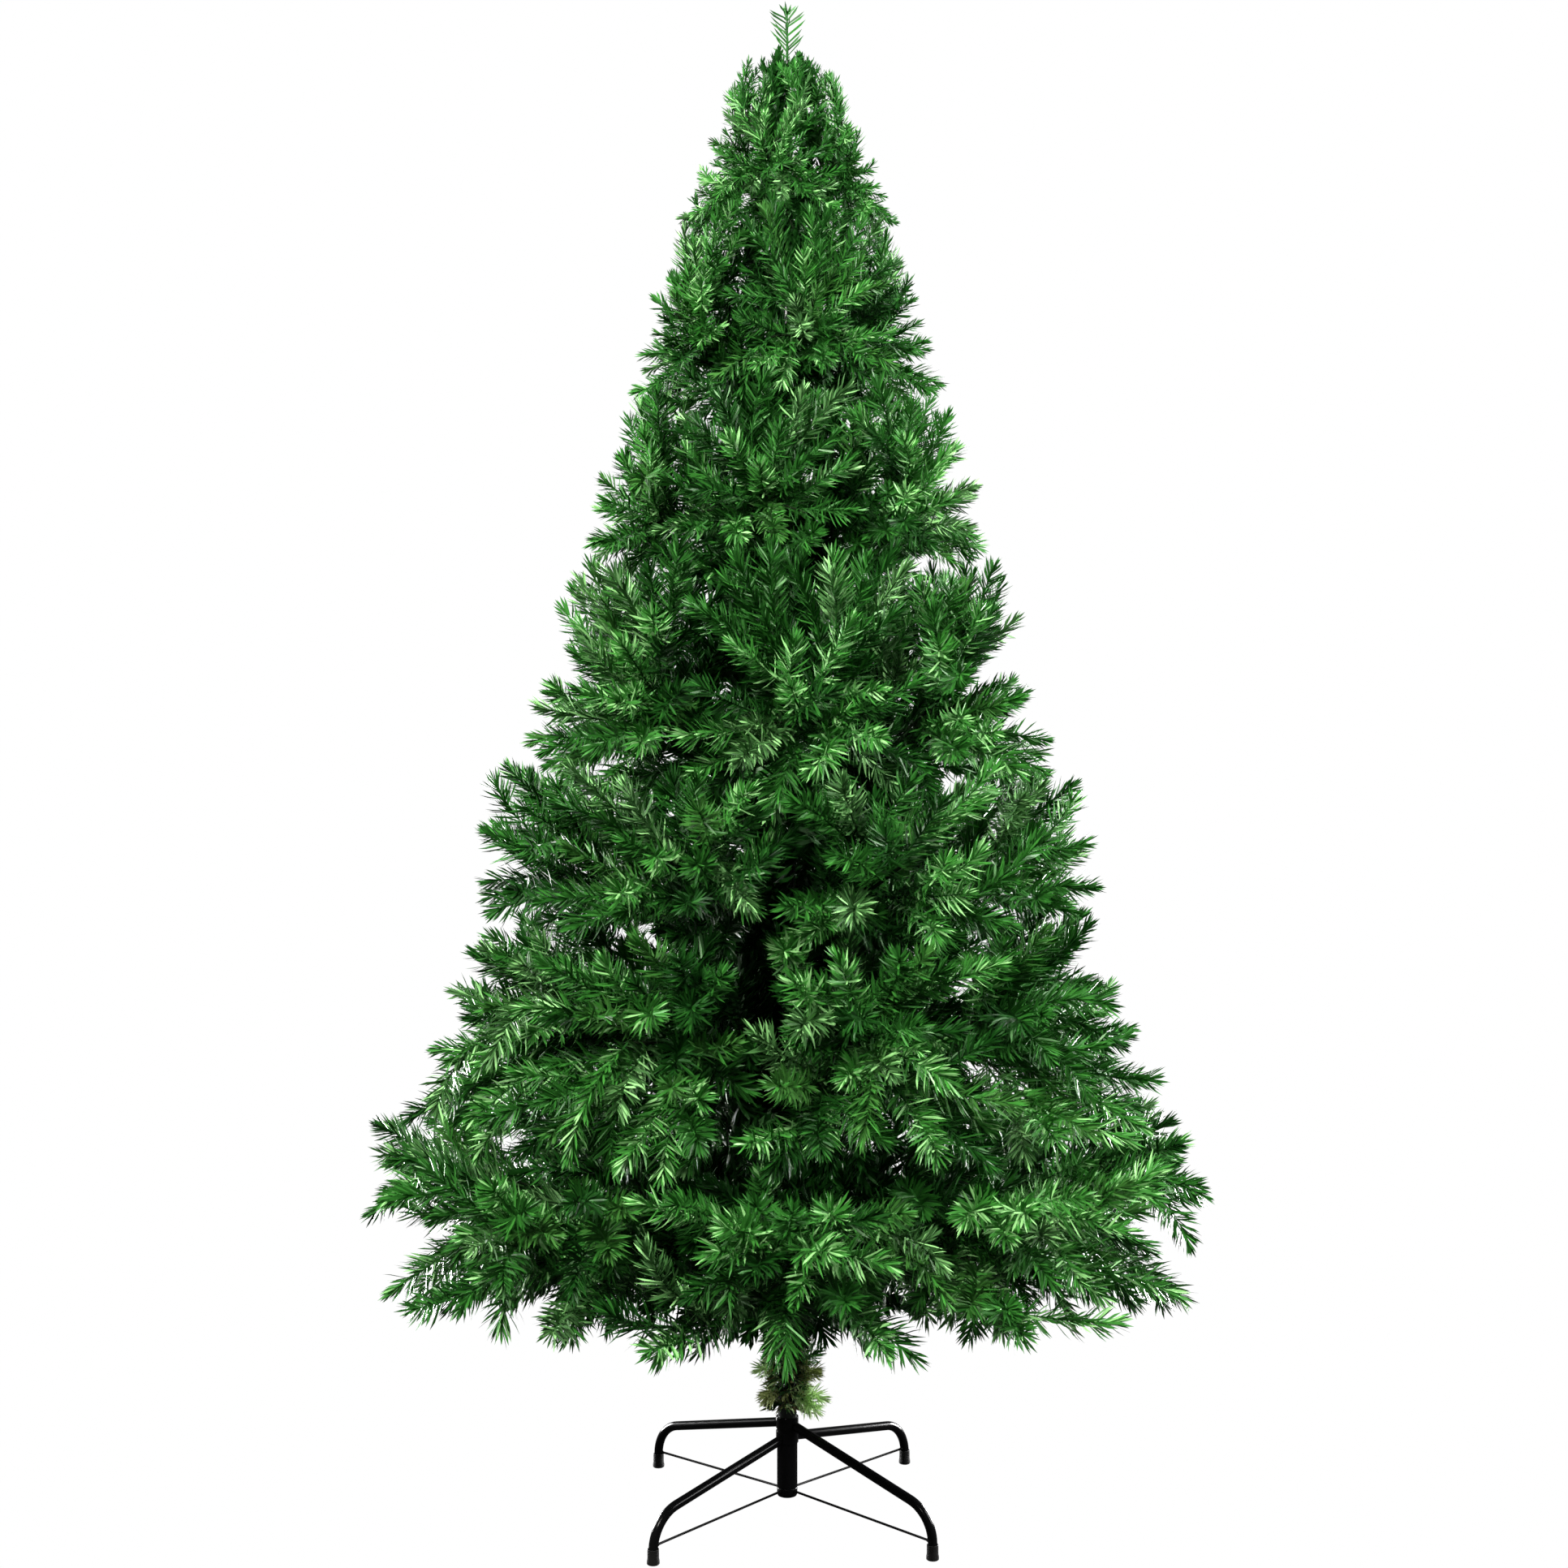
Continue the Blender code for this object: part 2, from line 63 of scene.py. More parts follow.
Leg = namedtuple("Leg", "name azimuth pair")
LEGS = (
    Leg("back_right", math.radians(47.4), LOWER_PAIR),
    Leg("back_left", math.radians(137.4), UPPER_PAIR),
    Leg("front_left", math.radians(227.4), LOWER_PAIR),
    Leg("front_right", math.radians(317.4), UPPER_PAIR),
)

# The pole, as in the source
POLE_RADIUS = 0.013
MIDDLE_POLE_RADIUS = 0.011
TOP_POLE_RADIUS = 0.008
POLE_TIP_RADIUS = 0.0035
FIRST_JOINT = 0.80
SECOND_JOINT = 1.42
TOP_POLE_TAPER = 1.80
POLE_TOP = 2.020
JOINT_STEP = 0.006
WRAP_BOTTOM = 0.139
WRAP_TOP = 0.300
TREE_HEIGHT = 2.100

# The crown's tiers, as in the source
Cone = namedtuple("Cone", "height radius rise")
CONES = (
    Cone(0.338, 0.560, 0.19),
    Cone(0.558, 0.540, 0.10),
    Cone(0.834, 0.435, 0.18),
    Cone(1.036, 0.385, 0.26),
    Cone(1.330, 0.300, 0.34),
    Cone(1.560, 0.225, 0.42),
    Cone(1.790, 0.158, 0.50),
    Cone(2.004, 0.045, -0.40),
)

Tier = namedtuple("Tier", "branches turn foot_reach head_reach")
TIERS = (
    Tier(8, 0.0, 0.592, 0.582),
    Tier(8, 15.0, 0.538, 0.434),
    Tier(7, 295.5, 0.448, 0.418),
    Tier(6, 276.0, 0.386, 0.304),
    Tier(5, 259.0, 0.302, 0.228),
    Tier(4, 285.0, 0.230, 0.158),
    Tier(3, 250.0, 0.162, 0.074),
)
SPACE_MARGIN = 0.003
SPACE_STEPS = 3
LEAST_RADIUS = 0.02
STEM_ROOT_UP = 0.30

# How a tier's tips grow: how high in the tier its boughs end, the distance between two tips on
# the outside, a tip's usual length, its needles' length and width, and how it arches
Growth = namedtuple("Growth", "star_up spacing tip_length needle_length needle_width arch")
GROWTHS = (
    Growth(0.62, 0.080, 0.150, 0.035, 0.0028, 0.08),
    Growth(0.58, 0.080, 0.150, 0.035, 0.0028, 0.03),
    Growth(0.50, 0.079, 0.145, 0.034, 0.0027, -0.02),
    Growth(0.42, 0.076, 0.138, 0.033, 0.0027, -0.06),
    Growth(0.45, 0.070, 0.124, 0.029, 0.0025, -0.08),
    Growth(0.52, 0.056, 0.098, 0.024, 0.0022, -0.12),
    Growth(0.64, 0.038, 0.056, 0.018, 0.0019, -0.20),
)

# The skins of the crown that tips end on, from outside to inside: the shares of the reach
# between which they end, how much further apart they stand, how far past the tier's floor and
# ceiling they spread as a share of its height, how densely they are dressed, how much broader
# their needles are, and the share of them that is made deep_green as painted shade, more of
# them further in, so that the inside of the crown is painted darker where shade falls
Skin = namedtuple("Skin", "reach apart spill dress broad deep")
SKINS = (
    Skin((0.92, 1.00), 1.00, 0.04, 1.00, 1.0, 0.00),
    Skin((0.80, 0.90), 1.12, 0.12, 0.95, 1.0, 0.15),
    Skin((0.60, 0.74), 1.12, 0.14, 0.88, 1.2, 0.45),
    Skin((0.42, 0.54), 1.08, 0.16, 0.90, 1.5, 0.80),
    Skin((0.24, 0.34), 1.00, 0.16, 1.00, 2.1, 1.0),
    Skin((0.08, 0.16), 0.80, 0.12, 1.00, 2.4, 1.0),
)
# How far past its ceiling the top tier spreads at most
TOP_SPILL = 0.10
# How much of the lowest tier's height each skin leaves open from below
OPEN_BELOW = (0.28, 0.26, 0.16, 0.14, 0.02, 0.0)

# The fringe: bunches of tips that hang from the lowest tier, at these places across a wedge.
# Its places up the wedge rise inwards, and dip and tuck in at the far left and right, more
# sharply with a higher corner power. The spread is a tip's and the jitter a whole bunch's.
FRINGE = Skin((0.58, 0.98), 1.00, 0.00, 0.95, 1.0, 0.0)
FRINGE_BUNCHES = (-0.66, 0.02, 0.64)
FRINGE_TIPS = 6
FRINGE_UP = (0.12, 0.24)
FRINGE_DIP = 0.36
FRINGE_RISE = 0.06
FRINGE_SPREAD = 0.13
FRINGE_TUCK = 0.07
FRINGE_JITTER = 0.06
CORNER_POWER = 16

# The notch above the fringe, on the left and the right: its height, half its size, how far to
# the side it begins, and the share of the reach that tips keep there
NOTCH_HEIGHT = 0.375
NOTCH_HALF = 0.052
NOTCH_SIDEWAYS = 0.70
NOTCH_REACH = 0.84

# The twigs of a bough: the share of the bough that each forks off at, and where it ends, as a
# share of the reach and as places across and up the wedge
Twig = namedtuple("Twig", "fork reach across up")
TWIGS = (
    Twig(0.50, 0.74, -0.52, 0.26),
    Twig(0.58, 0.76, 0.50, 0.24),
    Twig(0.54, 0.74, 0.54, 0.78),
    Twig(0.62, 0.76, -0.50, 0.80),
    Twig(0.22, 0.42, -0.40, 0.85),
    Twig(0.26, 0.42, 0.42, 0.12),
)
BOUGH_REACH = 0.80
BOUGH_RADIUS = 0.0036
BOUGH_TIP_RADIUS = 0.0020
KNOT_APART = 0.060
NEEDLES_PER_METRE = 960.0

Shade = namedtuple("Shade", "name colour")
GREENS = (
    Shade("deep_green", (0.006, 0.043, 0.005)),
    Shade("mid_green", (0.015, 0.086, 0.011)),
    Shade("fresh_green", (0.030, 0.150, 0.021)),
    Shade("warm_green", (0.032, 0.115, 0.020)),
    Shade("grey_green", (0.036, 0.104, 0.028)),
)
# The share of the sprays that each green is dealt to
GREEN_SHARES = (0.16, 0.36, 0.26, 0.08, 0.14)
OLIVES = (
    Shade("olive", (0.340, 0.400, 0.150)),
    Shade("brown_olive", (0.150, 0.115, 0.055)),
    Shade("dull_green", (0.080, 0.200, 0.060)),
    # lit_green is only used as a lighter lit shade, a painted highlight on fresh and grey greens
    Shade("lit_green", (0.210, 0.450, 0.160)),
    Shade("pale_green", (0.700, 0.950, 0.460)),
)
# The lighter shade that some of a spray's needles take in place of its own: a painted highlight
LIT_SHADES = {
    "deep_green": "mid_green",
    "mid_green": "fresh_green",
    "fresh_green": "lit_green",
    "warm_green": "fresh_green",
    "grey_green": "lit_green",
    "olive": "olive",
    "brown_olive": "olive",
    "dull_green": "fresh_green",
    "lit_green": "lit_green",
    "pale_green": "pale_green",
}
SHADE_NUMBERS = {shade.name: number for number, shade in enumerate(GREENS + OLIVES)}
LIT_NUMBERS = np.array([SHADE_NUMBERS[LIT_SHADES[name]] for name in SHADE_NUMBERS])


# Materials

PVC_ROUGHNESS = 0.38
PVC_GLOSS = 0.26
PVC_TINT = (0.74, 1.0, 0.70)
CLOUD_SCALE = 35.0
GRAIN_DEPTH = 0.0004

# The finishes of all but the needles: the range of their roughness, how fine their grain is,
# how much it stands out, and how much they reflect
Finish = namedtuple("Finish", "name colour roughness grain bump gloss")
FINISHES = {
    "steel": Finish("black_steel", (0.003, 0.003, 0.0033), (0.15, 0.21), 900.0, 0.0, 0.07),
    "wire": Finish("black_wire", (0.002, 0.002, 0.002), (0.55, 0.70), 900.0, 0.05, 0.03),
    "cap": Finish("black_rubber", (0.006, 0.006, 0.006), (0.45, 0.60), 1400.0, 0.30, 0.15),
    "pole": Finish("green_pole", (0.004, 0.007, 0.004), (0.22, 0.34), 700.0, 0.10, 0.35),
    "bough": Finish("bough_wire", (0.008, 0.016, 0.006), (0.60, 0.75), 500.0, 0.30, 0.05),
    "stem": Finish("green_wire", (0.012, 0.065, 0.010), (0.55, 0.70), 500.0, 0.20, 0.08),
}


def shader_of(name):
    material = bpy.data.materials.new(name)
    material.use_nodes = True
    return material, material.node_tree.nodes["Principled BSDF"]


def plain_pvc(shade):
    """PVC film of one plain colour: satin, with a faint wax gloss."""
    material, shader = shader_of(shade.name)
    shader.inputs["Base Color"].default_value = (*shade.colour, 1.0)
    shader.inputs["Roughness"].default_value = PVC_ROUGHNESS
    shader.inputs["Specular IOR Level"].default_value = PVC_GLOSS
    shader.inputs["Specular Tint"].default_value = (*PVC_TINT, 1.0)
    return material


def grained(finish):
    """A finish whose roughness varies softly and whose skin has a fine grain."""
    material, shader = shader_of(finish.name)
    nodes = material.node_tree.nodes
    links = material.node_tree.links
    shader.inputs["Base Color"].default_value = (*finish.colour, 1.0)
    shader.inputs["Specular IOR Level"].default_value = finish.gloss
    where = nodes.new("ShaderNodeTexCoord")
    cloud = nodes.new("ShaderNodeTexNoise")
    cloud.inputs["Scale"].default_value = CLOUD_SCALE
    links.new(where.outputs["Object"], cloud.inputs["Vector"])
    spread = nodes.new("ShaderNodeMapRange")
    spread.inputs["To Min"].default_value = finish.roughness[0]
    spread.inputs["To Max"].default_value = finish.roughness[1]
    links.new(cloud.outputs["Fac"], spread.inputs["Value"])
    links.new(spread.outputs["Result"], shader.inputs["Roughness"])
    fine = nodes.new("ShaderNodeTexNoise")
    fine.inputs["Scale"].default_value = finish.grain
    links.new(where.outputs["Object"], fine.inputs["Vector"])
    relief = nodes.new("ShaderNodeBump")
    relief.inputs["Strength"].default_value = finish.bump
    relief.inputs["Distance"].default_value = GRAIN_DEPTH
    links.new(fine.outputs["Fac"], relief.inputs["Height"])
    links.new(relief.outputs["Normal"], shader.inputs["Normal"])
    return material


def make_materials():
    materials = {kind: [grained(finish)] for kind, finish in FINISHES.items()}
    materials["needles"] = [plain_pvc(shade) for shade in GREENS + OLIVES]
    return materials


# Joined shapes

# The angles in degrees past which an edge stays sharp, on turned steel, on braces and on stems
SHARP = 35.0
BRACE_SHARP = 50.0
STEM_SHARP = 60.0
EDGE_SEGMENTS = 3


class Shapes:
    """The points and faces of many small shapes that become one mesh."""

    def __init__(self):
        self.points = []
        self.faces = []

    def add(self, points, faces):
        first = len(self.points)
        self.points.extend(points)
        self.faces.extend([tuple(first + corner for corner in face) for face in faces])

    def sweep(self, path, radii, sides):
        """A round bar along a path of Vectors, with a radius at each and closed ends."""
        points = []
        faces = []
        normal = (path[1] - path[0]).orthogonal().normalized()
        for number, place in enumerate(path):
            before = path[max(0, number - 1)]
            after = path[min(len(path) - 1, number + 1)]
            along = (after - before).normalized()
            normal = (normal - along * normal.dot(along)).normalized()
            across = along.cross(normal)
            for side in range(sides):
                turn = 2.0 * math.pi * side / sides
                spoke = normal * math.cos(turn) + across * math.sin(turn)
                points.append(place + spoke * radii[number])
        for number in range(len(path) - 1):
            for side in range(sides):
                low = number * sides + side
                beside = number * sides + (side + 1) % sides
                faces.append((low, beside, beside + sides, low + sides))
        faces.append(tuple(reversed(range(sides))))
        faces.append(tuple(range(len(points) - sides, len(points))))
        self.add(points, faces)

    def turn(self, profile, sides, foot=(0.0, 0.0, 0.0)):
        """A turned shape from (radius, height) pairs that run down its outer side and close on
        themselves. A pair at radius nought becomes a point on the axis."""
        points = []
        rows = []
        for radius, height in profile:
            count = sides if radius > 0.0 else 1
            rows.append([len(points) + side % count for side in range(sides)])
            for side in range(count):
                turn = 2.0 * math.pi * side / sides
                place = Vector((radius * math.cos(turn), radius * math.sin(turn), height))
                points.append(place + Vector(foot))
        faces = []
        for upper, lower in zip(rows, rows[1:] + rows[:1]):
            for side in range(sides):
                beside = (side + 1) % sides
                face = (upper[beside], upper[side], lower[side], lower[beside])
                corners = tuple(dict.fromkeys(face))
                if len(corners) > 2:
                    faces.append(corners)
        self.add(points, faces)

    def block(self, size, placed):
        """A box of a size, centred where a matrix puts it."""
        signs = [(x, y, z) for x in (-0.5, 0.5) for y in (-0.5, 0.5) for z in (-0.5, 0.5)]
        points = [placed @ Vector([sign * side for sign, side in zip(row, size)]) for row in signs]
        faces = [(0, 1, 3, 2), (4, 6, 7, 5), (0, 4, 5, 1), (2, 3, 7, 6), (0, 2, 6, 4), (1, 5, 7, 3)]
        self.add(points, faces)


def add_piece(name, mesh, materials, replaced=()):
    """A mesh as a piece of the tree, riding on its one body."""
    piece = bpy.data.objects.new(name, mesh)
    bpy.context.scene.collection.objects.link(piece)
    for material in materials:
        mesh.materials.append(material)
    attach(piece, BODY)
    if replaced:
        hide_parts(*replaced)
    return piece


def smooth_piece(name, shapes, materials, replaced=(), edge=0.0, sharp=SHARP):
    """Joined shapes as a smooth-shaded piece, with its edges rounded where edge isn't nought."""
    mesh = bpy.data.meshes.new(name)
    mesh.from_pydata(shapes.points, [], shapes.faces)
    mesh.shade_smooth()
    mesh.set_sharp_from_angle(angle=math.radians(sharp))
    piece = add_piece(name, mesh, materials, replaced)
    if edge:
        rounding = piece.modifiers.new("rounding", "BEVEL")
        rounding.width = edge
        rounding.segments = EDGE_SEGMENTS
        rounding.limit_method = "ANGLE"
        rounding.angle_limit = math.radians(sharp)
        rounding.harden_normals = True
    return piece


# Places round the pole

def polar(radius, azimuth, height):
    return Vector((radius * math.cos(azimuth), radius * math.sin(azimuth), height))


def outward(azimuth):
    return Vector((math.cos(azimuth), math.sin(azimuth), 0.0))


def bezier(start, bend, end, share):
    rest = 1.0 - share
    return start * rest**2 + bend * (2.0 * rest * share) + end * share**2


# The stand

CUP_SIDES = 48
TUBE_SIDES = 28
WIRE_SIDES = 16
BEND_STEPS = 16
STEEL_EDGE = 0.0003
COLLAR_EDGE = 0.0004
CAP_EDGE = 0.0004
SOCKET_BAND = 0.0135
SOCKET_GROOVE = 0.0006
SOCKET_ROUND = 0.0034
SOCKET_ROUND_MIDDLE = 0.0010
CAP_SWELL = 0.0001
CAP_WAIST_HEIGHT = 0.0080
CAP_FLARE_HEIGHT = 0.0042
CAP_ROUND_HEIGHT = 0.0010
CAP_ROUND = 0.0012

# The welds at a brace's ends: shares of its length, and how much of the weld is on it there
WELD_RADIUS = 0.0012
WELDS = (
    (0.0, 1.0),
    (0.006, 0.8),
    (0.014, 0.0),
    (0.25, 0.0),
    (0.5, 0.0),
    (0.75, 0.0),
    (0.986, 0.0),
    (0.994, 0.6),
    (1.0, 0.8),
)


def make_socket(materials):
    inner = SOCKET_RADIUS - SOCKET_WALL
    floor = SOCKET_BOTTOM + SOCKET_FLOOR
    band = SOCKET_BOTTOM + SOCKET_BAND
    groove = SOCKET_RADIUS - SOCKET_GROOVE
    shapes = Shapes()
    profile = [
        (0.0, floor),
        (inner, floor),
        (inner, SOCKET_TOP),
        (SOCKET_RADIUS, SOCKET_TOP),
        (SOCKET_RADIUS, band),
        (groove, band - SOCKET_GROOVE),
        (groove, band - 2.0 * SOCKET_GROOVE),
        (SOCKET_RADIUS, band - 3.0 * SOCKET_GROOVE),
        (SOCKET_RADIUS, SOCKET_BOTTOM + SOCKET_ROUND),
        (SOCKET_RADIUS - SOCKET_ROUND_MIDDLE, SOCKET_BOTTOM + SOCKET_ROUND_MIDDLE),
        (SOCKET_RADIUS - SOCKET_ROUND, SOCKET_BOTTOM),
        (0.0, SOCKET_BOTTOM),
    ]
    shapes.turn(profile, CUP_SIDES)
    smooth_piece("stand_cup", shapes, materials["steel"], ["stand_socket"], STEEL_EDGE)


def make_collar(name, pair, materials, replaced):
    inner = SOCKET_RADIUS + GAP
    low = pair.axis_height - COLLAR_HEIGHT / 2.0
    high = pair.axis_height + COLLAR_HEIGHT / 2.0
    shapes = Shapes()
    shapes.turn([(inner, high), (COLLAR_RADIUS, high), (COLLAR_RADIUS, low), (inner, low)], CUP_SIDES)
    smooth_piece(name, shapes, materials["steel"], [replaced], COLLAR_EDGE)


def bend_centre(pair):
    """The radius and height of the middle of a leg's bend."""
    radius = FOOT_CIRCLE - LEG_BEND
    start = radius + LEG_BEND * math.sin(pair.slope)
    start_height = pair.axis_height - start * math.tan(pair.slope)
    return radius, start_height - LEG_BEND * math.cos(pair.slope)


def leg_path(leg):
    slope = leg.pair.slope
    start_radius = COLLAR_RADIUS + GAP + LEG_RADIUS * math.sin(slope)
    start_height = leg.pair.axis_height - start_radius * math.tan(slope)
    centre_radius, centre_height = bend_centre(leg.pair)
    path = [polar(start_radius, leg.azimuth, start_height)]
    for step in range(BEND_STEPS + 1):
        turn = slope + (math.pi / 2.0 - slope) * step / BEND_STEPS
        radius = centre_radius + LEG_BEND * math.sin(turn)
        path.append(polar(radius, leg.azimuth, centre_height + LEG_BEND * math.cos(turn)))
    path.append(polar(FOOT_CIRCLE, leg.azimuth, CAP_FLOOR + GAP))
    return path


def make_leg(leg, materials):
    path = leg_path(leg)
    shapes = Shapes()
    shapes.sweep(path, [LEG_RADIUS] * len(path), TUBE_SIDES)
    name = "stand_tube_" + leg.name
    replaced = ["stand_leg_" + leg.name]
    smooth_piece(name, shapes, materials["steel"], replaced, STEEL_EDGE)


def make_cap(leg, materials):
    bore = LEG_RADIUS + CAP_PLAY
    foot = CAP_RADIUS + CAP_FLARE
    profile = [
        (0.0, CAP_FLOOR),
        (bore, CAP_FLOOR),
        (bore, CAP_HEIGHT),
        (CAP_RADIUS, CAP_HEIGHT),
        (CAP_RADIUS + CAP_SWELL, CAP_WAIST_HEIGHT),
        (foot, CAP_FLARE_HEIGHT),
        (foot, CAP_ROUND_HEIGHT),
        (foot - CAP_ROUND, 0.0),
        (0.0, 0.0),
    ]
    shapes = Shapes()
    shapes.turn(profile, CUP_SIDES, polar(FOOT_CIRCLE, leg.azimuth, 0.0))
    name = "stand_cap_" + leg.name
    smooth_piece(name, shapes, materials["cap"], ["stand_foot_" + leg.name], CAP_EDGE)


def make_brace(leg, materials):
    """A wire from the socket to the inner side of the leg, with a weld at each end."""
    centre_radius, centre_height = bend_centre(leg.pair)
    above = BRACE_LEG_HEIGHT + BRACE_RADIUS - centre_height
    leg_radius = centre_radius + math.sqrt(LEG_BEND**2 - above**2)
    outer = polar(leg_radius - LEG_RADIUS - GAP, leg.azimuth, BRACE_LEG_HEIGHT)
    inner = polar(SOCKET_RADIUS + GAP, leg.azimuth, BRACE_SOCKET_HEIGHT)
    path = [inner.lerp(outer, share) for share, _ in WELDS]
    radii = [BRACE_RADIUS + WELD_RADIUS * weld for _, weld in WELDS]
    shapes = Shapes()
    shapes.sweep(path, radii, WIRE_SIDES)
    name = "stand_wire_" + leg.name
    replaced = ["stand_brace_" + leg.name]
    smooth_piece(name, shapes, materials["wire"], replaced, sharp=BRACE_SHARP)


def make_stand(materials):
    make_socket(materials)
    make_collar("stand_ring_upper", UPPER_PAIR, materials, "stand_collar_upper")
    make_collar("stand_ring_lower", LOWER_PAIR, materials, "stand_collar_lower")
    for leg in LEGS:
        make_leg(leg, materials)
        make_cap(leg, materials)
        make_brace(leg, materials)


# The pole

POLE_SIDES = 32
WHORL_HEIGHT = 0.014
WHORL_SKIN = 0.0035
WHORL_EDGE = 0.0005
HOOK_SIZE = (0.013, 0.005, 0.011)
HOOK_PLATE = HOOK_SIZE[1] / 3.0

# The rolled mouth of a joint, from its top down: how far inside the lower tube's skin it is,
# and how far above the joint
JOINT_ROLL = 0.0007
JOINT_MOUTH = (
    (JOINT_ROLL, 0.002),
    (0.0, 0.0),
    (JOINT_ROLL, -0.004),
    (JOINT_ROLL, -0.012),
    (0.0, -0.016),
)
JOINTS = (
    (SECOND_JOINT, TOP_POLE_RADIUS, MIDDLE_POLE_RADIUS),
    (FIRST_JOINT, MIDDLE_POLE_RADIUS, POLE_RADIUS),
)


def pole_radius(height):
    if height < FIRST_JOINT:
        return POLE_RADIUS
    if height < SECOND_JOINT:
        return MIDDLE_POLE_RADIUS
    if height < TOP_POLE_TAPER:
        return TOP_POLE_RADIUS
    share = (height - TOP_POLE_TAPER) / (POLE_TOP - TOP_POLE_TAPER)
    return TOP_POLE_RADIUS + share * (POLE_TIP_RADIUS - TOP_POLE_RADIUS)


def make_pole(materials):
    """Three tubes that plug into one another, each with a rolled mouth at its joint."""
    profile = [(0.0, POLE_TOP), (POLE_TIP_RADIUS, POLE_TOP), (TOP_POLE_RADIUS, TOP_POLE_TAPER)]
    for joint, above, below in JOINTS:
        profile.append((above, joint + JOINT_STEP))
        profile += [(below - inside, joint + rise) for inside, rise in JOINT_MOUTH]
    foot = SOCKET_BOTTOM + SOCKET_FLOOR + GAP
    profile += [(POLE_RADIUS, foot), (0.0, foot)]
    shapes = Shapes()
    shapes.turn(profile, POLE_SIDES)
    smooth_piece("pole_tubes", shapes, materials["pole"], ["trunk_pole"])


def make_whorls(spaces, materials):
    """The ring and the hooks that each tier's boughs hang on."""
    shapes = Shapes()
    rings = set()
    for space in spaces:
        root = space.root_height()
        radius = pole_radius(root)
        if space.number not in rings:
            rings.add(space.number)
            inner = radius + GAP
            low = root - WHORL_HEIGHT / 2.0
            high = root + WHORL_HEIGHT / 2.0
            outer = radius + WHORL_SKIN
            shapes.turn([(inner, high), (outer, high), (outer, low), (inner, low)], POLE_SIDES)
        centre = polar(radius + WHORL_SKIN + HOOK_SIZE[0] / 2.0 - GAP, space.azimuth, root)
        for side in (-1.0, 1.0):
            turned = Matrix.Translation(centre) @ Matrix.Rotation(space.azimuth, 4, "Z")
            placed = turned @ Matrix.Translation((0.0, side * HOOK_SIZE[1], 0.0))
            shapes.block((HOOK_SIZE[0], HOOK_PLATE, HOOK_SIZE[2]), placed)
    smooth_piece("pole_whorls", shapes, materials["pole"], edge=WHORL_EDGE)


# The space of a branch, as in the source

def cone_height(cone, radius):
    return cone.height + cone.rise * (radius - cone.radius)


def tier_reach(number, height):
    """How far the crown reaches at a height in a tier."""
    tier = TIERS[number]
    low = CONES[number].height
    share = (height - low) / (CONES[number + 1].height - low)
    share = min(1.0, max(0.0, share))
    return tier.foot_reach + share * (tier.head_reach - tier.foot_reach)


class Space:
    """The wedge of a tier that one branch grows in."""

    def __init__(self, number, branch):
        tier = TIERS[number]
        self.number = number
        self.branch = branch
        self.azimuth = math.radians(tier.turn + 360.0 * branch / tier.branches)
        self.half_angle = math.pi / tier.branches

    def node(self):
        return f"tier{self.number + 1}_branch{self.branch + 1}"

    def floor(self, radius):
        return cone_height(CONES[self.number], radius) + SPACE_MARGIN

    def ceiling(self, radius):
        return cone_height(CONES[self.number + 1], radius) - SPACE_MARGIN

    def root_height(self):
        low = self.floor(POLE_RADIUS)
        return low + STEM_ROOT_UP * (self.ceiling(POLE_RADIUS) - low)

    def point(self, reach_share, across, up, inside=0.0):
        """A point by its share of the reach, less a distance inside, and its places across
        (-1 to 1) and up (0 to 1)."""
        radius = TIERS[self.number].foot_reach
        for _ in range(SPACE_STEPS):
            height = self.floor(radius) + up * (self.ceiling(radius) - self.floor(radius))
            radius = max(LEAST_RADIUS, reach_share * tier_reach(self.number, height) - inside)
        turn = across * (self.half_angle - SPACE_MARGIN / radius)
        return polar(radius, self.azimuth + turn, height)


# The boughs and the tips

Tip = namedtuple("Tip", "start bend end needles length width shade")

# How boughs and twigs stray from their places in the wedge, and how they bend
BOUGH_STEPS = 8
BOUGH_SIDES = 8
SIDE_JITTER = 0.06
UP_JITTER = 0.05
BOUGH_ARCH = 0.10
BOUGH_SAG = -0.6
TWIG_THICK = 0.6
TWIG_AHEAD = 0.02
TWIG_BEND = 0.45

# How tips are spread over a skin, how they bend, and the stem that each is dressed on
TIP_INSIDE = 0.55
PLACE_JITTER = 0.34
ROW_SHIFT = 0.25
TIP_BEND = 0.45
BEND_ALONG = 0.30
ALONG_RANGE = (0.3, 1.0)
ARCH_RANGE = (0.2, 1.3)
NEEDLE_RANGE = (0.88, 1.10)
STEM_RADII = (0.0013, 0.0012, 0.0010, 0.0007)
STEM_SIDES = 3

# What counts against a knot as a tip's start: less than the usual length, a turn, and chance
SHORT_COST = 1.6
ANGLE_COST = 0.055
CHANCE_COST = 0.030


def deal_green(chance):
    """The number of a green, dealt by the greens' shares."""
    pick = chance.random() * sum(GREEN_SHARES)
    for number, share in enumerate(GREEN_SHARES):
        pick -= share
        if pick <= 0.0:
            return number
    return 0


def bough_curve(space, chance):
    """The start, bend and end of a bough."""
    growth = GROWTHS[space.number]
    root = space.root_height()
    start = polar(pole_radius(root) + GAP, space.azimuth, root)
    star_up = growth.star_up + chance.uniform(-UP_JITTER, UP_JITTER)
    end = space.point(BOUGH_REACH, chance.uniform(-SIDE_JITTER, SIDE_JITTER), star_up)
    bend = start.lerp(end, 0.5)
    bend.z += BOUGH_ARCH * (end - start).length * (1.0 if growth.arch > 0.0 else BOUGH_SAG)
    return start, bend, end


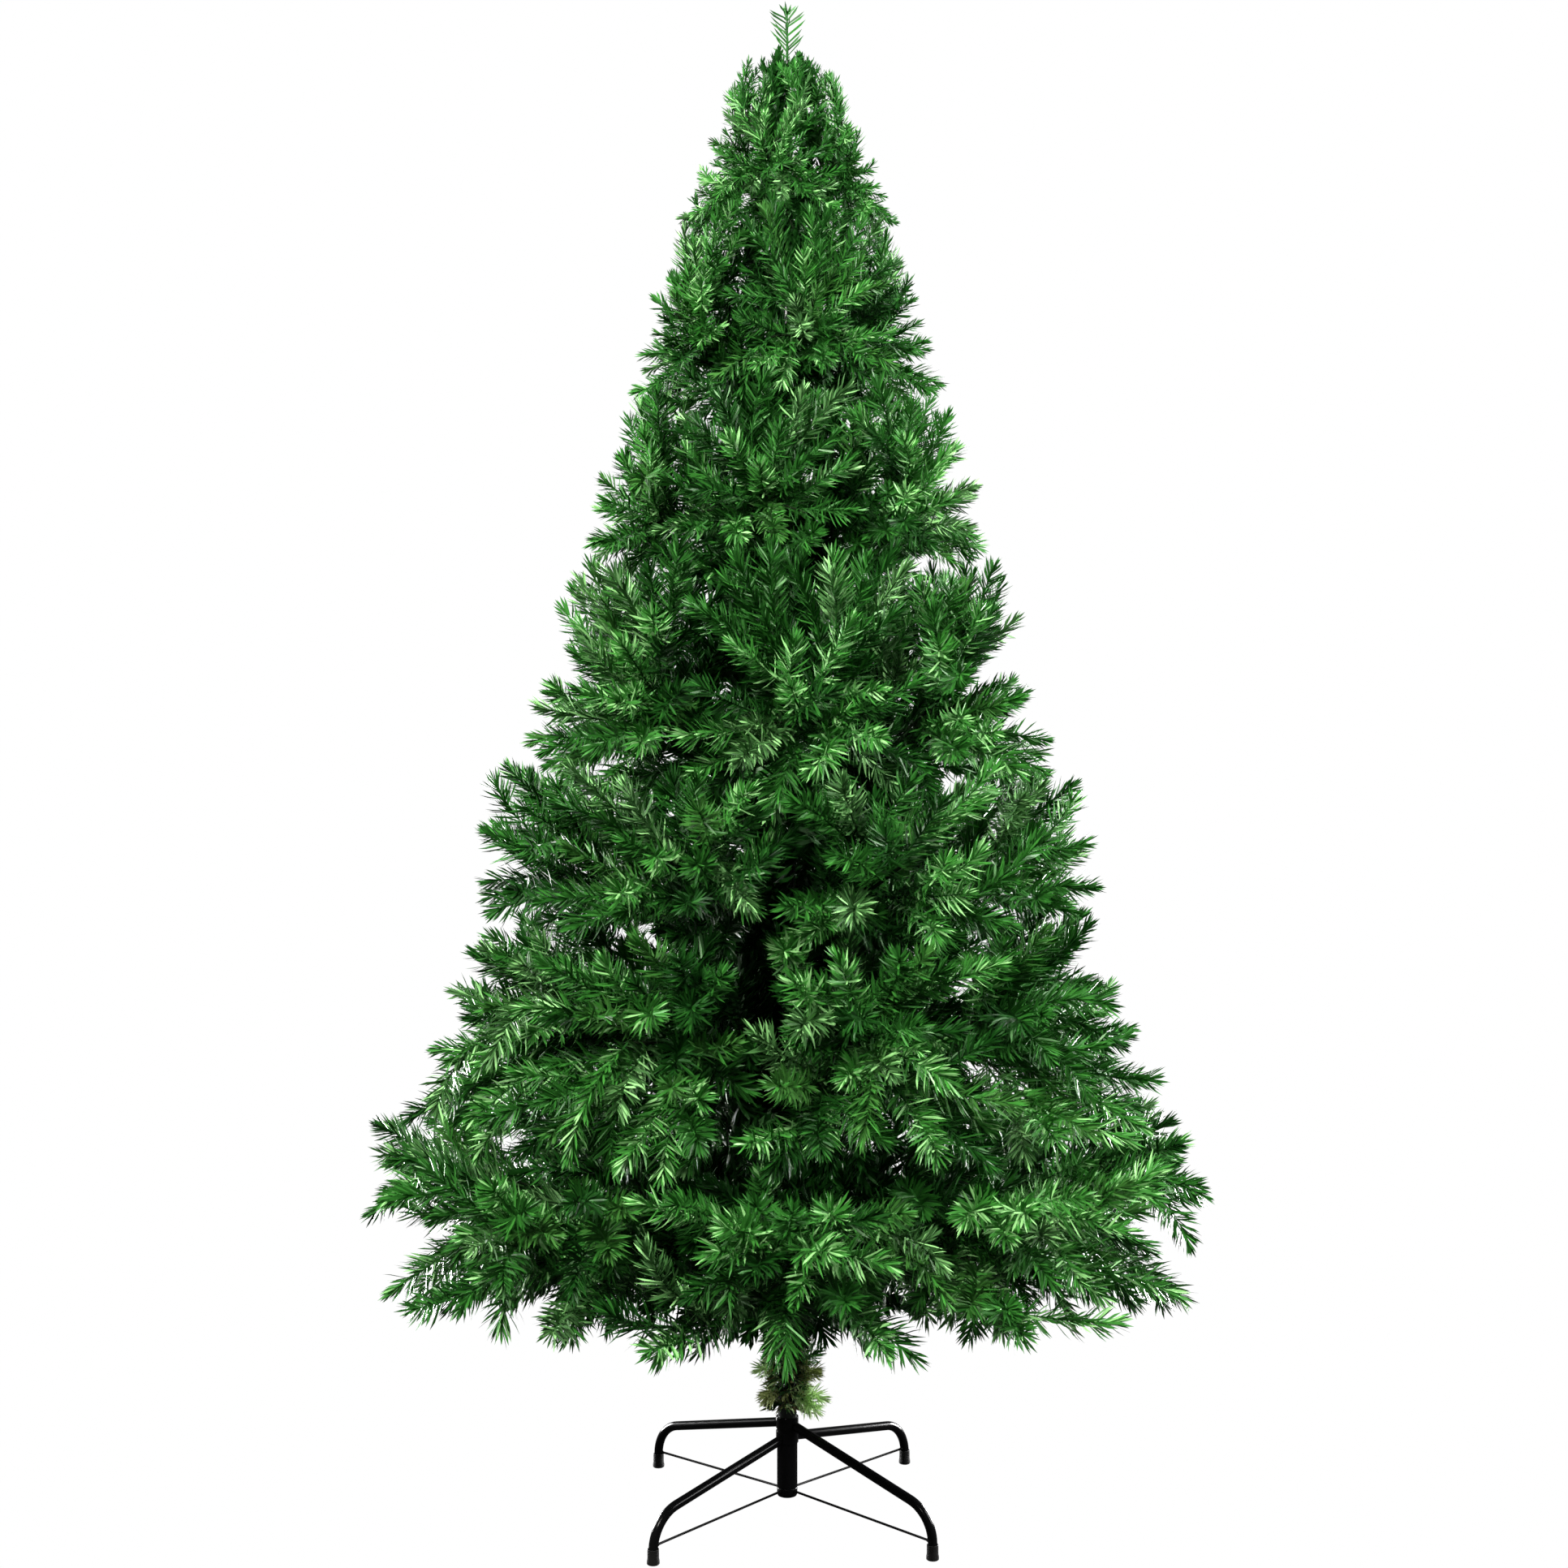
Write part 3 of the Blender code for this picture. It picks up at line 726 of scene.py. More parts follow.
def twig_curve(space, bough, twig, chance):
    """The start, bend and end of a twig that forks off a bough."""
    start = bezier(*bough, twig.fork)
    across = twig.across + chance.uniform(-SIDE_JITTER, SIDE_JITTER)
    up = twig.up + chance.uniform(-UP_JITTER, UP_JITTER)
    end = space.point(twig.reach, across, up)
    ahead = bezier(*bough, twig.fork + TWIG_AHEAD) - start
    bend = start + ahead.normalized() * (TWIG_BEND * (end - start).length)
    return start, bend, end


def knots_of(curve):
    """Places and directions along a bough or twig where tips may fork off."""
    start, bend, end = curve
    count = max(2, round((end - start).length / KNOT_APART))
    knots = []
    for number in range(count + 1):
        share = number / count
        ahead = (bend - start) * (1.0 - share) + (end - bend) * share
        knots.append((bezier(*curve, share), ahead.normalized()))
    return knots


def spread_up(space, skin, up):
    """A place up a tier, spread past its floor and ceiling to cover the gaps between tiers. The
    lowest tier stays open from below and the top tier stays clear of the leader."""
    if space.number == 0:
        below = OPEN_BELOW[SKINS.index(skin)]
        return below + (1.0 - below) * up
    above = min(skin.spill, TOP_SPILL) if space.number == len(TIERS) - 1 else skin.spill
    return -skin.spill + (1.0 + skin.spill + above) * up


def in_notch(place):
    """Whether a place is at the notch's height and far enough to the left or the right."""
    sideways = abs(place.x) / math.hypot(place.x, place.y)
    return abs(place.z - NOTCH_HEIGHT) < NOTCH_HALF and sideways > NOTCH_SIDEWAYS


def skin_targets(space, skin, chance):
    """Places spread evenly over one skin of the branch's wedge, where its tips end."""
    growth = GROWTHS[space.number]
    middle = space.point(sum(skin.reach) / 2.0, 0.0, 0.5)
    radius = math.hypot(middle.x, middle.y)
    height = space.ceiling(radius) - space.floor(radius)
    apart = growth.spacing * skin.apart
    rows = max(1, round(height / apart))
    columns = max(1, round(2.0 * radius * space.half_angle / apart))
    inside = TIP_INSIDE * growth.needle_length
    targets = []
    for row in range(rows):
        shift = ROW_SHIFT if row % 2 else -ROW_SHIFT
        for column in range(columns):
            across = (column + 0.5 + shift + chance.uniform(-PLACE_JITTER, PLACE_JITTER)) / columns
            up = (row + 0.5 + chance.uniform(-PLACE_JITTER, PLACE_JITTER)) / rows
            up = spread_up(space, skin, up)
            share = chance.uniform(*skin.reach)
            place = space.point(share, 2.0 * across - 1.0, up, inside)
            if in_notch(place):
                place = space.point(share * NOTCH_REACH, 2.0 * across - 1.0, up, inside)
            targets.append(place)
    return targets


def fringe_targets(space, chance):
    """Places under a branch of the lowest tier, in bunches, where the fringe's tips end."""
    inside = TIP_INSIDE * GROWTHS[space.number].needle_length
    targets = []
    for bunch in FRINGE_BUNCHES:
        middle = bunch + chance.uniform(-FRINGE_JITTER, FRINGE_JITTER)
        corner = abs(math.cos(space.azimuth + middle * space.half_angle)) ** CORNER_POWER
        for number in range(FRINGE_TIPS):
            inward = number / (FRINGE_TIPS - 1)
            share = FRINGE.reach[1] + (FRINGE.reach[0] - FRINGE.reach[1]) * inward
            across = middle + chance.uniform(-FRINGE_SPREAD, FRINGE_SPREAD)
            up = chance.uniform(*FRINGE_UP) + FRINGE_RISE * inward
            up -= FRINGE_DIP * corner * (1.0 - inward)
            share *= 1.0 - FRINGE_TUCK * corner
            targets.append(space.point(share, across, up, inside))
    return targets


def best_knot(knots, target, usual, chance):
    """The knot that a tip of about the usual length reaches its target from most naturally."""
    def cost(knot):
        place, ahead = knot
        along = target - place
        length = along.length
        off = abs(length - usual)
        if length < usual:
            off *= SHORT_COST
        turn = 1.0 - along.dot(ahead) / length
        return off + ANGLE_COST * turn + chance.uniform(0.0, CHANCE_COST)
    return min(knots, key=cost)


def grow_tip(space, skin, knots, target, chance):
    """One tip: it leaves its knot nearly along the twig and bends towards its target."""
    growth = GROWTHS[space.number]
    start, ahead = best_knot(knots, target, growth.tip_length, chance)
    length = (target - start).length
    along = BEND_ALONG * length * chance.uniform(*ALONG_RANGE)
    bend = start.lerp(target, TIP_BEND) + ahead * along
    bend.z += growth.arch * length * chance.uniform(*ARCH_RANGE)
    needles = round(NEEDLES_PER_METRE * length * skin.dress)
    # Tips of the inner skins often take deep_green as painted shade in place of a dealt green
    deep = chance.random() < skin.deep
    shade = SHADE_NUMBERS["deep_green"] if deep else deal_green(chance)
    needle = growth.needle_length * chance.uniform(*NEEDLE_RANGE)
    return Tip(start, bend, target, needles, needle, growth.needle_width * skin.broad, shade)


def grow_branch(space):
    """A branch's bough and twigs, and its tips."""
    chance = random.Random(SEED + 100 * space.number + space.branch)
    bough = bough_curve(space, chance)
    curves = [bough] + [twig_curve(space, bough, twig, chance) for twig in TWIGS]
    knots = [knot for curve in curves for knot in knots_of(curve)]
    tips = []
    for skin in SKINS:
        for target in skin_targets(space, skin, chance):
            tips.append(grow_tip(space, skin, knots, target, chance))
    if space.number == 0:
        for target in fringe_targets(space, chance):
            tips.append(grow_tip(space, FRINGE, knots, target, chance))
    return curves, tips


# Needles

# How flat a spray is, how far it tilts, and a nudge that leaves each needle a width direction
FLATNESS = 0.60
SPRAY_TILT = 0.45
WIDTH_NUDGE = 0.01
NEEDLE_KNEE = 0.72
NEEDLE_BEND = 0.05
# The share of needles that take their spray's lighter lit shade, a painted highlight
LIT_SHARE = 0.25
ROOT_BARE = 0.04
ROOT_THIN = 0.85
NEEDLES_END = 1.02
NEEDLE_ROOT_WIDTH = 0.70
OPEN_ANGLE = math.radians(52.0)
CLOSED_ANGLE = math.radians(22.0)
ANGLE_JITTER = math.radians(5.0)
ROLL_SPREAD = math.radians(34.0)
# Where along a tip its needles begin to close, over how much of it, how softly, and how much
# shorter they get
CLOSING_FROM = 0.72
CLOSING_OVER = 0.28
CLOSING_POWER = 1.5
CLOSING_SHORTER = 0.30
LENGTH_RANGE = (0.80, 1.12)
WIDTH_RANGE = (0.8, 1.2)
# A needle's points and corners, and the corners that its two faces begin at
NEEDLE_POINTS = 5
NEEDLE_CORNERS = (0, 1, 3, 2, 2, 3, 4)
NEEDLE_FACES = (0, 4)


def unit(vectors):
    return vectors / np.linalg.norm(vectors, axis=1, keepdims=True)


def needle_places(tips, dice):
    """Which tip each needle is on, and how far along it."""
    counts = np.array([tip.needles for tip in tips])
    owner = np.repeat(np.arange(len(tips)), counts)
    order = np.arange(len(owner)) - np.repeat(np.cumsum(counts) - counts, counts)
    even = (order + dice.random(len(owner))) / counts[owner]
    return owner, np.minimum(1.0, ROOT_BARE + (NEEDLES_END - ROOT_BARE) * even**ROOT_THIN)


def needle_rays(tips, dice):
    """Each needle's root, direction, width direction, length, width and shade."""
    owner, along = needle_places(tips, dice)
    start = np.array([tip.start for tip in tips])[owner]
    bend = np.array([tip.bend for tip in tips])[owner]
    end = np.array([tip.end for tip in tips])[owner]
    t = along[:, None]
    root = start * (1.0 - t) ** 2 + bend * 2.0 * t * (1.0 - t) + end * t**2
    ahead = unit((bend - start) * (1.0 - t) + (end - bend) * t)
    tilt = np.column_stack([dice.normal(0.0, SPRAY_TILT, (len(tips), 2)), np.ones(len(tips))])[owner]
    wide = unit(np.cross(ahead, tilt))
    high = np.cross(wide, ahead)
    turn = dice.random(len(owner)) * 2.0 * math.pi
    spoke = unit(wide * np.cos(turn)[:, None] + high * (FLATNESS * np.sin(turn))[:, None])
    closing = np.clip((along - CLOSING_FROM) / CLOSING_OVER, 0.0, 1.0) ** CLOSING_POWER
    angle = OPEN_ANGLE + (CLOSED_ANGLE - OPEN_ANGLE) * closing
    angle = np.abs(angle + dice.normal(0.0, 1.0, len(owner)) * ANGLE_JITTER)[:, None]
    ray = unit(ahead * np.cos(angle) + spoke * np.sin(angle))
    beside = unit(np.cross(ray, ahead + spoke * WIDTH_NUDGE))
    roll = dice.normal(0.0, ROLL_SPREAD, len(owner))[:, None]
    flat = beside * np.cos(roll) + np.cross(ray, beside) * np.sin(roll)
    length = np.array([tip.length for tip in tips])[owner]
    length = length * (1.0 - CLOSING_SHORTER * closing) * dice.uniform(*LENGTH_RANGE, len(owner))
    width = np.array([tip.width for tip in tips])[owner] * dice.uniform(*WIDTH_RANGE, len(owner))
    shade = np.array([tip.shade for tip in tips])[owner]
    # Some needles take the lighter lit shade of their spray as a painted highlight
    lit = dice.random(len(owner)) < LIT_SHARE
    shade = np.where(lit, LIT_NUMBERS[shade], shade)
    return root, ray, ahead, flat, length[:, None], width[:, None], shade


def needle_mesh(name, root, ray, ahead, flat, length, width, shade):
    """Flat needles as one mesh: each is a strip with a pointed end that bends a little."""
    count = len(root)
    knee = root + ray * length * NEEDLE_KNEE
    point = root + ray * length + ahead * length * NEEDLE_BEND
    narrow = flat * width * NEEDLE_ROOT_WIDTH / 2.0
    half = flat * width / 2.0
    points = np.stack([root - narrow, root + narrow, knee - half, knee + half, point], axis=1)
    order = np.arange(count)[:, None]
    loops = order * NEEDLE_POINTS + np.array(NEEDLE_CORNERS)[None, :]
    starts = order * len(NEEDLE_CORNERS) + np.array(NEEDLE_FACES)[None, :]
    mesh = bpy.data.meshes.new(name)
    mesh.vertices.add(count * NEEDLE_POINTS)
    mesh.vertices.foreach_set("co", points.reshape(-1).astype(np.float32))
    mesh.loops.add(loops.size)
    mesh.loops.foreach_set("vertex_index", loops.reshape(-1).astype(np.int32))
    mesh.polygons.add(starts.size)
    mesh.polygons.foreach_set("loop_start", starts.reshape(-1).astype(np.int32))
    mesh.polygons.foreach_set("material_index", np.repeat(shade, len(NEEDLE_FACES)).astype(np.int32))
    mesh.update(calc_edges=True)
    mesh.validate()
    return mesh


def make_needles(name, tips, materials, replaced, seed):
    dice = np.random.default_rng(seed)
    mesh = needle_mesh(name, *needle_rays(tips, dice))
    return add_piece(name, mesh, materials["needles"], replaced)


# The crown

# The number of pieces that each tier's needles are dealt out to
NEEDLE_PIECES = (2, 2, 2, 1, 1, 1, 1)


def sweep_curve(shapes, curve, radii, sides):
    """A tapering limb along a curve, with one step fewer than it has radii."""
    steps = len(radii) - 1
    shapes.sweep([bezier(*curve, step / steps) for step in range(steps + 1)], radii, sides)


def bough_radii(thick):
    taper = (BOUGH_TIP_RADIUS - BOUGH_RADIUS) / BOUGH_STEPS
    return [thick * (BOUGH_RADIUS + taper * step) for step in range(BOUGH_STEPS + 1)]


def make_tier(number, branches, materials):
    """A tier's boughs, twigs and needles, each kind joined."""
    boughs = Shapes()
    twigs = Shapes()
    for _, curves, tips in branches:
        for curve in curves:
            thick = 1.0 if curve is curves[0] else TWIG_THICK
            sweep_curve(boughs, curve, bough_radii(thick), BOUGH_SIDES)
        for tip in tips:
            sweep_curve(twigs, (tip.start, tip.bend, tip.end), STEM_RADII, STEM_SIDES)
    name = f"tier{number + 1}"
    smooth_piece(name + "_boughs", boughs, materials["bough"], sharp=STEM_SHARP)
    smooth_piece(name + "_twigs", twigs, materials["stem"], sharp=STEM_SHARP)
    parts = NEEDLE_PIECES[number]
    for part in range(parts):
        chosen = branches[part::parts]
        tips = [tip for _, _, branch_tips in chosen for tip in branch_tips]
        replaced = [space.node() for space, _, _ in chosen]
        title = f"{name}_needles_{part + 1}"
        make_needles(title, tips, materials, replaced, SEED + 10 * number + part)


def make_crown(materials):
    spaces = []
    for number, tier in enumerate(TIERS):
        branches = []
        for branch in range(tier.branches):
            space = Space(number, branch)
            spaces.append(space)
            branches.append((space, *grow_branch(space)))
        make_tier(number, branches, materials)
    make_whorls(spaces, materials)


# The leader above the crown

LEADER_SEED = SEED + 900
LEADER_ROWS = 10
LEADER_FIRST_ROW = 0.006
LEADER_LAST_ROW = 0.064
LEADER_ROW_JITTER = 0.003
LEADER_NEEDLE_LENGTH = 0.031
LEADER_NEEDLE_LIFT = math.radians(42.0)
LEADER_NEEDLE_WIDTH = 0.0028
LEADER_TURN_JITTER = 0.45
LEADER_LIFT_RANGE = (-0.24, 0.22)
LEADER_LENGTH_RANGE = (0.85, 1.05)
LEADER_ROOM = 0.002
LEADER_ROLL = 0.25
LEADER_SHADES = ("deep_green", "mid_green", "mid_green", "fresh_green")
LEADER_STEM_RADII = (0.0020, 0.0008)
LEADER_STEM_SIDES = 8
# A row's needles: which way each points, and its share of the full length
LEADER_PAIRS = ((0.0, 1.0), (math.pi, 1.0), (0.5 * math.pi, 0.75), (1.5 * math.pi, 0.75))
TUFT_NEEDLES = 12
TUFT_DEPTH = 0.016
TUFT_LIFT = (30.0, 78.0)
TUFT_LENGTH = (0.011, 0.015)
STEM_DEPTH = 0.010


def lifted(azimuth, lift):
    """The direction at an azimuth, lifted off the level by an angle."""
    return outward(azimuth) * math.cos(lift) + Vector((0.0, 0.0, math.sin(lift)))


def leader_rays(dice):
    """Sparse pairs of needles up a bare stem, and a blunt tuft at its end."""
    root = []
    ray = []
    length = []
    step = (LEADER_LAST_ROW - LEADER_FIRST_ROW) / (LEADER_ROWS - 1)
    for row in range(LEADER_ROWS):
        height = POLE_TOP + LEADER_FIRST_ROW + row * step
        for side, share in LEADER_PAIRS:
            azimuth = side + dice.uniform(-LEADER_TURN_JITTER, LEADER_TURN_JITTER)
            lift = LEADER_NEEDLE_LIFT + dice.uniform(*LEADER_LIFT_RANGE)
            root.append((0.0, 0.0, height + dice.uniform(-LEADER_ROW_JITTER, LEADER_ROW_JITTER)))
            ray.append(lifted(azimuth, lift))
            room = (TREE_HEIGHT - height - LEADER_ROOM) / (math.sin(lift) + NEEDLE_BEND)
            usual = LEADER_NEEDLE_LENGTH * share * dice.uniform(*LEADER_LENGTH_RANGE)
            length.append(min(room, usual))
    for number in range(TUFT_NEEDLES):
        lift = math.radians(dice.uniform(*TUFT_LIFT))
        root.append((0.0, 0.0, TREE_HEIGHT - TUFT_DEPTH))
        ray.append(lifted(number * 2.0 * math.pi / TUFT_NEEDLES, lift))
        length.append(dice.uniform(*TUFT_LENGTH))
    return np.array(root), np.array([tuple(one) for one in ray]), np.array(length)


def make_leader(materials):
    dice = np.random.default_rng(LEADER_SEED)
    root, ray, length = leader_rays(dice)
    count = len(root)
    ahead = np.tile((0.0, 0.0, 1.0), (count, 1))
    beside = np.cross(ray, ahead) + dice.normal(0.0, LEADER_ROLL, (count, 3))
    flat = unit(np.cross(ray, beside))
    shade = dice.choice([SHADE_NUMBERS[name] for name in LEADER_SHADES], count)
    width = np.full((count, 1), LEADER_NEEDLE_WIDTH)
    mesh = needle_mesh("leader_needles", root, ray, ahead, flat, length[:, None], width, shade)
    add_piece("leader_needles", mesh, materials["needles"], ["leader_tip"])
    shapes = Shapes()
    path = [Vector((0.0, 0.0, POLE_TOP + GAP)), Vector((0.0, 0.0, TREE_HEIGHT - STEM_DEPTH))]
    shapes.sweep(path, LEADER_STEM_RADII, LEADER_STEM_SIDES)
    smooth_piece("leader_stem", shapes, materials["stem"], sharp=STEM_SHARP)


# The garland at the foot of the pole

GARLAND_SEED = SEED + 950
SPRAY_SEED = SEED + 960
GARLAND_NEEDLES = 2600
GARLAND_LENGTH = (0.014, 0.030)
GARLAND_WIDTH = (0.0020, 0.0040)
GARLAND_TURNS = 9.0
GARLAND_EDGE = 0.12
GARLAND_DROOP = -0.35
GARLAND_LIFT = (0.05, 0.55)
GARLAND_SWEEP = 0.7
GARLAND_TURN_JITTER = 0.25
GARLAND_ROOT = 0.001
GARLAND_WIRE = 0.0014
GARLAND_WIRE_RADIUS = 0.0012
GARLAND_WIRE_SIDES = 6
GARLAND_WIRE_STEPS = 140
GARLAND_WIRE_ENDS = (0.003, 0.001)

# The shades of the garland's needles, and the share of each
GARLAND_SHADES = ("deep_green", "olive", "brown_olive", "dull_green", "pale_green")
GARLAND_SHARES = (0.28, 0.22, 0.15, 0.27, 0.08)

# The sprays that stand out of the garland
Spray = namedtuple("Spray", "start end needles shade")
GARLAND_SPRAYS = (
    Spray((0.006, -0.014, 0.164), (0.036, -0.040, 0.153), 130, "pale_green"),
    Spray((0.010, -0.012, 0.160), (0.044, -0.030, 0.166), 110, "pale_green"),
    Spray((0.010, -0.012, 0.184), (0.036, -0.030, 0.202), 110, "olive"),
    Spray((0.010, -0.012, 0.195), (0.038, -0.030, 0.228), 110, "fresh_green"),
    Spray((-0.012, -0.008, 0.192), (-0.034, -0.026, 0.204), 80, "pale_green"),
    Spray((-0.012, -0.010, 0.166), (-0.028, -0.026, 0.168), 90, "olive"),
)
SPRAY_ARCH = 0.008
SPRAY_NEEDLE_LENGTH = 0.024
SPRAY_NEEDLE_WIDTH = 0.0018


def garland_rays(dice):
    """Short needles rooted on a helix round the pole, that splay out of it."""
    up = np.array((0.0, 0.0, 1.0))
    share = np.sort(dice.random(GARLAND_NEEDLES))
    azimuth = share * GARLAND_TURNS * 2.0 * math.pi
    azimuth += dice.normal(0.0, GARLAND_TURN_JITTER, GARLAND_NEEDLES)
    height = WRAP_BOTTOM + GARLAND_ROOT + share * (WRAP_TOP - WRAP_BOTTOM - GARLAND_ROOT)
    spoke = np.column_stack([np.cos(azimuth), np.sin(azimuth), np.zeros(GARLAND_NEEDLES)])
    tangent = np.column_stack([-np.sin(azimuth), np.cos(azimuth), np.zeros(GARLAND_NEEDLES)])
    root = spoke * (POLE_RADIUS + GARLAND_ROOT) + height[:, None] * up
    lift = dice.normal(*GARLAND_LIFT, GARLAND_NEEDLES)
    lift = np.where(share < GARLAND_EDGE, np.maximum(lift, GARLAND_DROOP), lift)
    sweep = dice.normal(0.0, GARLAND_SWEEP, GARLAND_NEEDLES)
    ray = unit(spoke + tangent * sweep[:, None] + lift[:, None] * up)
    flat = unit(np.cross(ray, dice.normal(0.0, 1.0, (GARLAND_NEEDLES, 3))))
    length = dice.uniform(*GARLAND_LENGTH, GARLAND_NEEDLES)
    return root, ray, spoke, flat, length


def spray_tip(spray):
    """A garland spray as a tip that arches up a little."""
    start = Vector(spray.start)
    end = Vector(spray.end)
    bend = start.lerp(end, 0.5) + Vector((0.0, 0.0, SPRAY_ARCH))
    shade = SHADE_NUMBERS[spray.shade]
    return Tip(start, bend, end, spray.needles, SPRAY_NEEDLE_LENGTH, SPRAY_NEEDLE_WIDTH, shade)


def make_garland_wire(materials):
    """The wire that the garland's needles are twisted into, as a helix round the pole."""
    foot, head = GARLAND_WIRE_ENDS
    path = []
    for step in range(GARLAND_WIRE_STEPS + 1):
        share = step / GARLAND_WIRE_STEPS
        height = WRAP_BOTTOM + foot + share * (WRAP_TOP - WRAP_BOTTOM - foot - head)
        azimuth = share * GARLAND_TURNS * 2.0 * math.pi
        path.append(polar(POLE_RADIUS + GARLAND_WIRE, azimuth, height))
    shapes = Shapes()
    shapes.sweep(path, [GARLAND_WIRE_RADIUS] * len(path), GARLAND_WIRE_SIDES)
    smooth_piece("garland_wire", shapes, materials["bough"], sharp=STEM_SHARP)


def make_garland(materials):
    dice = np.random.default_rng(GARLAND_SEED)
    root, ray, spoke, flat, length = garland_rays(dice)
    shades = [SHADE_NUMBERS[name] for name in GARLAND_SHADES]
    shade = dice.choice(shades, len(root), p=GARLAND_SHARES)
    width = dice.uniform(*GARLAND_WIDTH, (len(root), 1))
    mesh = needle_mesh("garland_needles", root, ray, spoke, flat, length[:, None], width, shade)
    add_piece("garland_needles", mesh, materials["needles"], ["trunk_wrap"])
    tips = [spray_tip(spray) for spray in GARLAND_SPRAYS]
    make_needles("garland_sprays", tips, materials, (), SPRAY_SEED)
    make_garland_wire(materials)


# Floor, light and camera

FLOOR_HALF = 60.0
FLOOR_DROP = 0.0004
FLOOR_GREY = 0.92
FLOOR_ROUGHNESS = 0.9
FLOOR_GLOSS = 0.1
WHITE = (1.0, 1.0, 1.0)
WARM = (1.0, 0.98, 0.93)
SKY_LIGHT = 0.09

# The soft lamps. The kickers and the top lamp give no reflections, and the two glints, low
# behind the stand, give nothing else
Lamp = namedtuple("Lamp", "name place target size power colour glossy diffuse")
LAMPS = (
    Lamp("key", (-1.2, -2.8, 3.4), (0.0, 0.0, 1.0), (1.2, 1.2), 410.0, WARM, True, True),
    Lamp("left_rim", (-2.6, 0.4, 2.0), (0.0, 0.0, 0.9), (1.0, 1.8), 90.0, WHITE, True, True),
    Lamp("right_rim", (2.6, -0.4, 2.0), (0.0, 0.0, 0.9), (1.0, 1.8), 215.0, WHITE, True, True),
    Lamp("left_kicker", (-1.8, 2.2, 1.4), (0.0, 0.0, 0.8), (0.8, 2.2), 100.0, WHITE, False, True),
    Lamp("right_kicker", (1.8, 2.2, 1.4), (0.0, 0.0, 0.8), (0.8, 2.2), 185.0, WHITE, False, True),
    Lamp("left_glint", (-1.15, 0.85, 0.30), (-0.19, -0.19, 0.06), (0.5, 0.5), 90.0, WHITE, True, False),
    Lamp("right_glint", (1.15, 0.85, 0.30), (0.19, -0.19, 0.06), (0.5, 0.5), 90.0, WHITE, True, False),
    Lamp("top", (0.2, -0.6, 3.9), (0.0, 0.0, 1.6), (1.4, 1.4), 40.0, WARM, False, True),
)

# The photograph's camera: level, in front of the tree and a little to its left
CAMERA_PLACE = (-0.0045, -2.853, 1.053)
CAMERA_LENS = 47.0
CAMERA_SENSOR = 36.0
CAMERA_SHIFT = -0.0186


def make_floor():
    """A plain pale floor that the camera sees as white."""
    corners = ((-1.0, -1.0), (1.0, -1.0), (1.0, 1.0), (-1.0, 1.0))
    points = [(x * FLOOR_HALF, y * FLOOR_HALF, -FLOOR_DROP) for x, y in corners]
    mesh = bpy.data.meshes.new("floor")
    mesh.from_pydata(points, [], [(0, 1, 2, 3)])
    floor = bpy.data.objects.new("floor", mesh)
    bpy.context.scene.collection.objects.link(floor)
    material, shader = shader_of("pale_floor")
    shader.inputs["Base Color"].default_value = (FLOOR_GREY, FLOOR_GREY, FLOOR_GREY, 1.0)
    shader.inputs["Roughness"].default_value = FLOOR_ROUGHNESS
    shader.inputs["Specular IOR Level"].default_value = FLOOR_GLOSS
    nodes = material.node_tree.nodes
    links = material.node_tree.links
    seen = nodes.new("ShaderNodeEmission")
    path = nodes.new("ShaderNodeLightPath")
    mix = nodes.new("ShaderNodeMixShader")
    links.new(path.outputs["Is Camera Ray"], mix.inputs["Fac"])
    links.new(shader.outputs["BSDF"], mix.inputs[1])
    links.new(seen.outputs["Emission"], mix.inputs[2])
    links.new(mix.outputs["Shader"], nodes["Material Output"].inputs["Surface"])
    mesh.materials.append(material)
    floor.visible_diffuse = False
    floor.visible_glossy = False


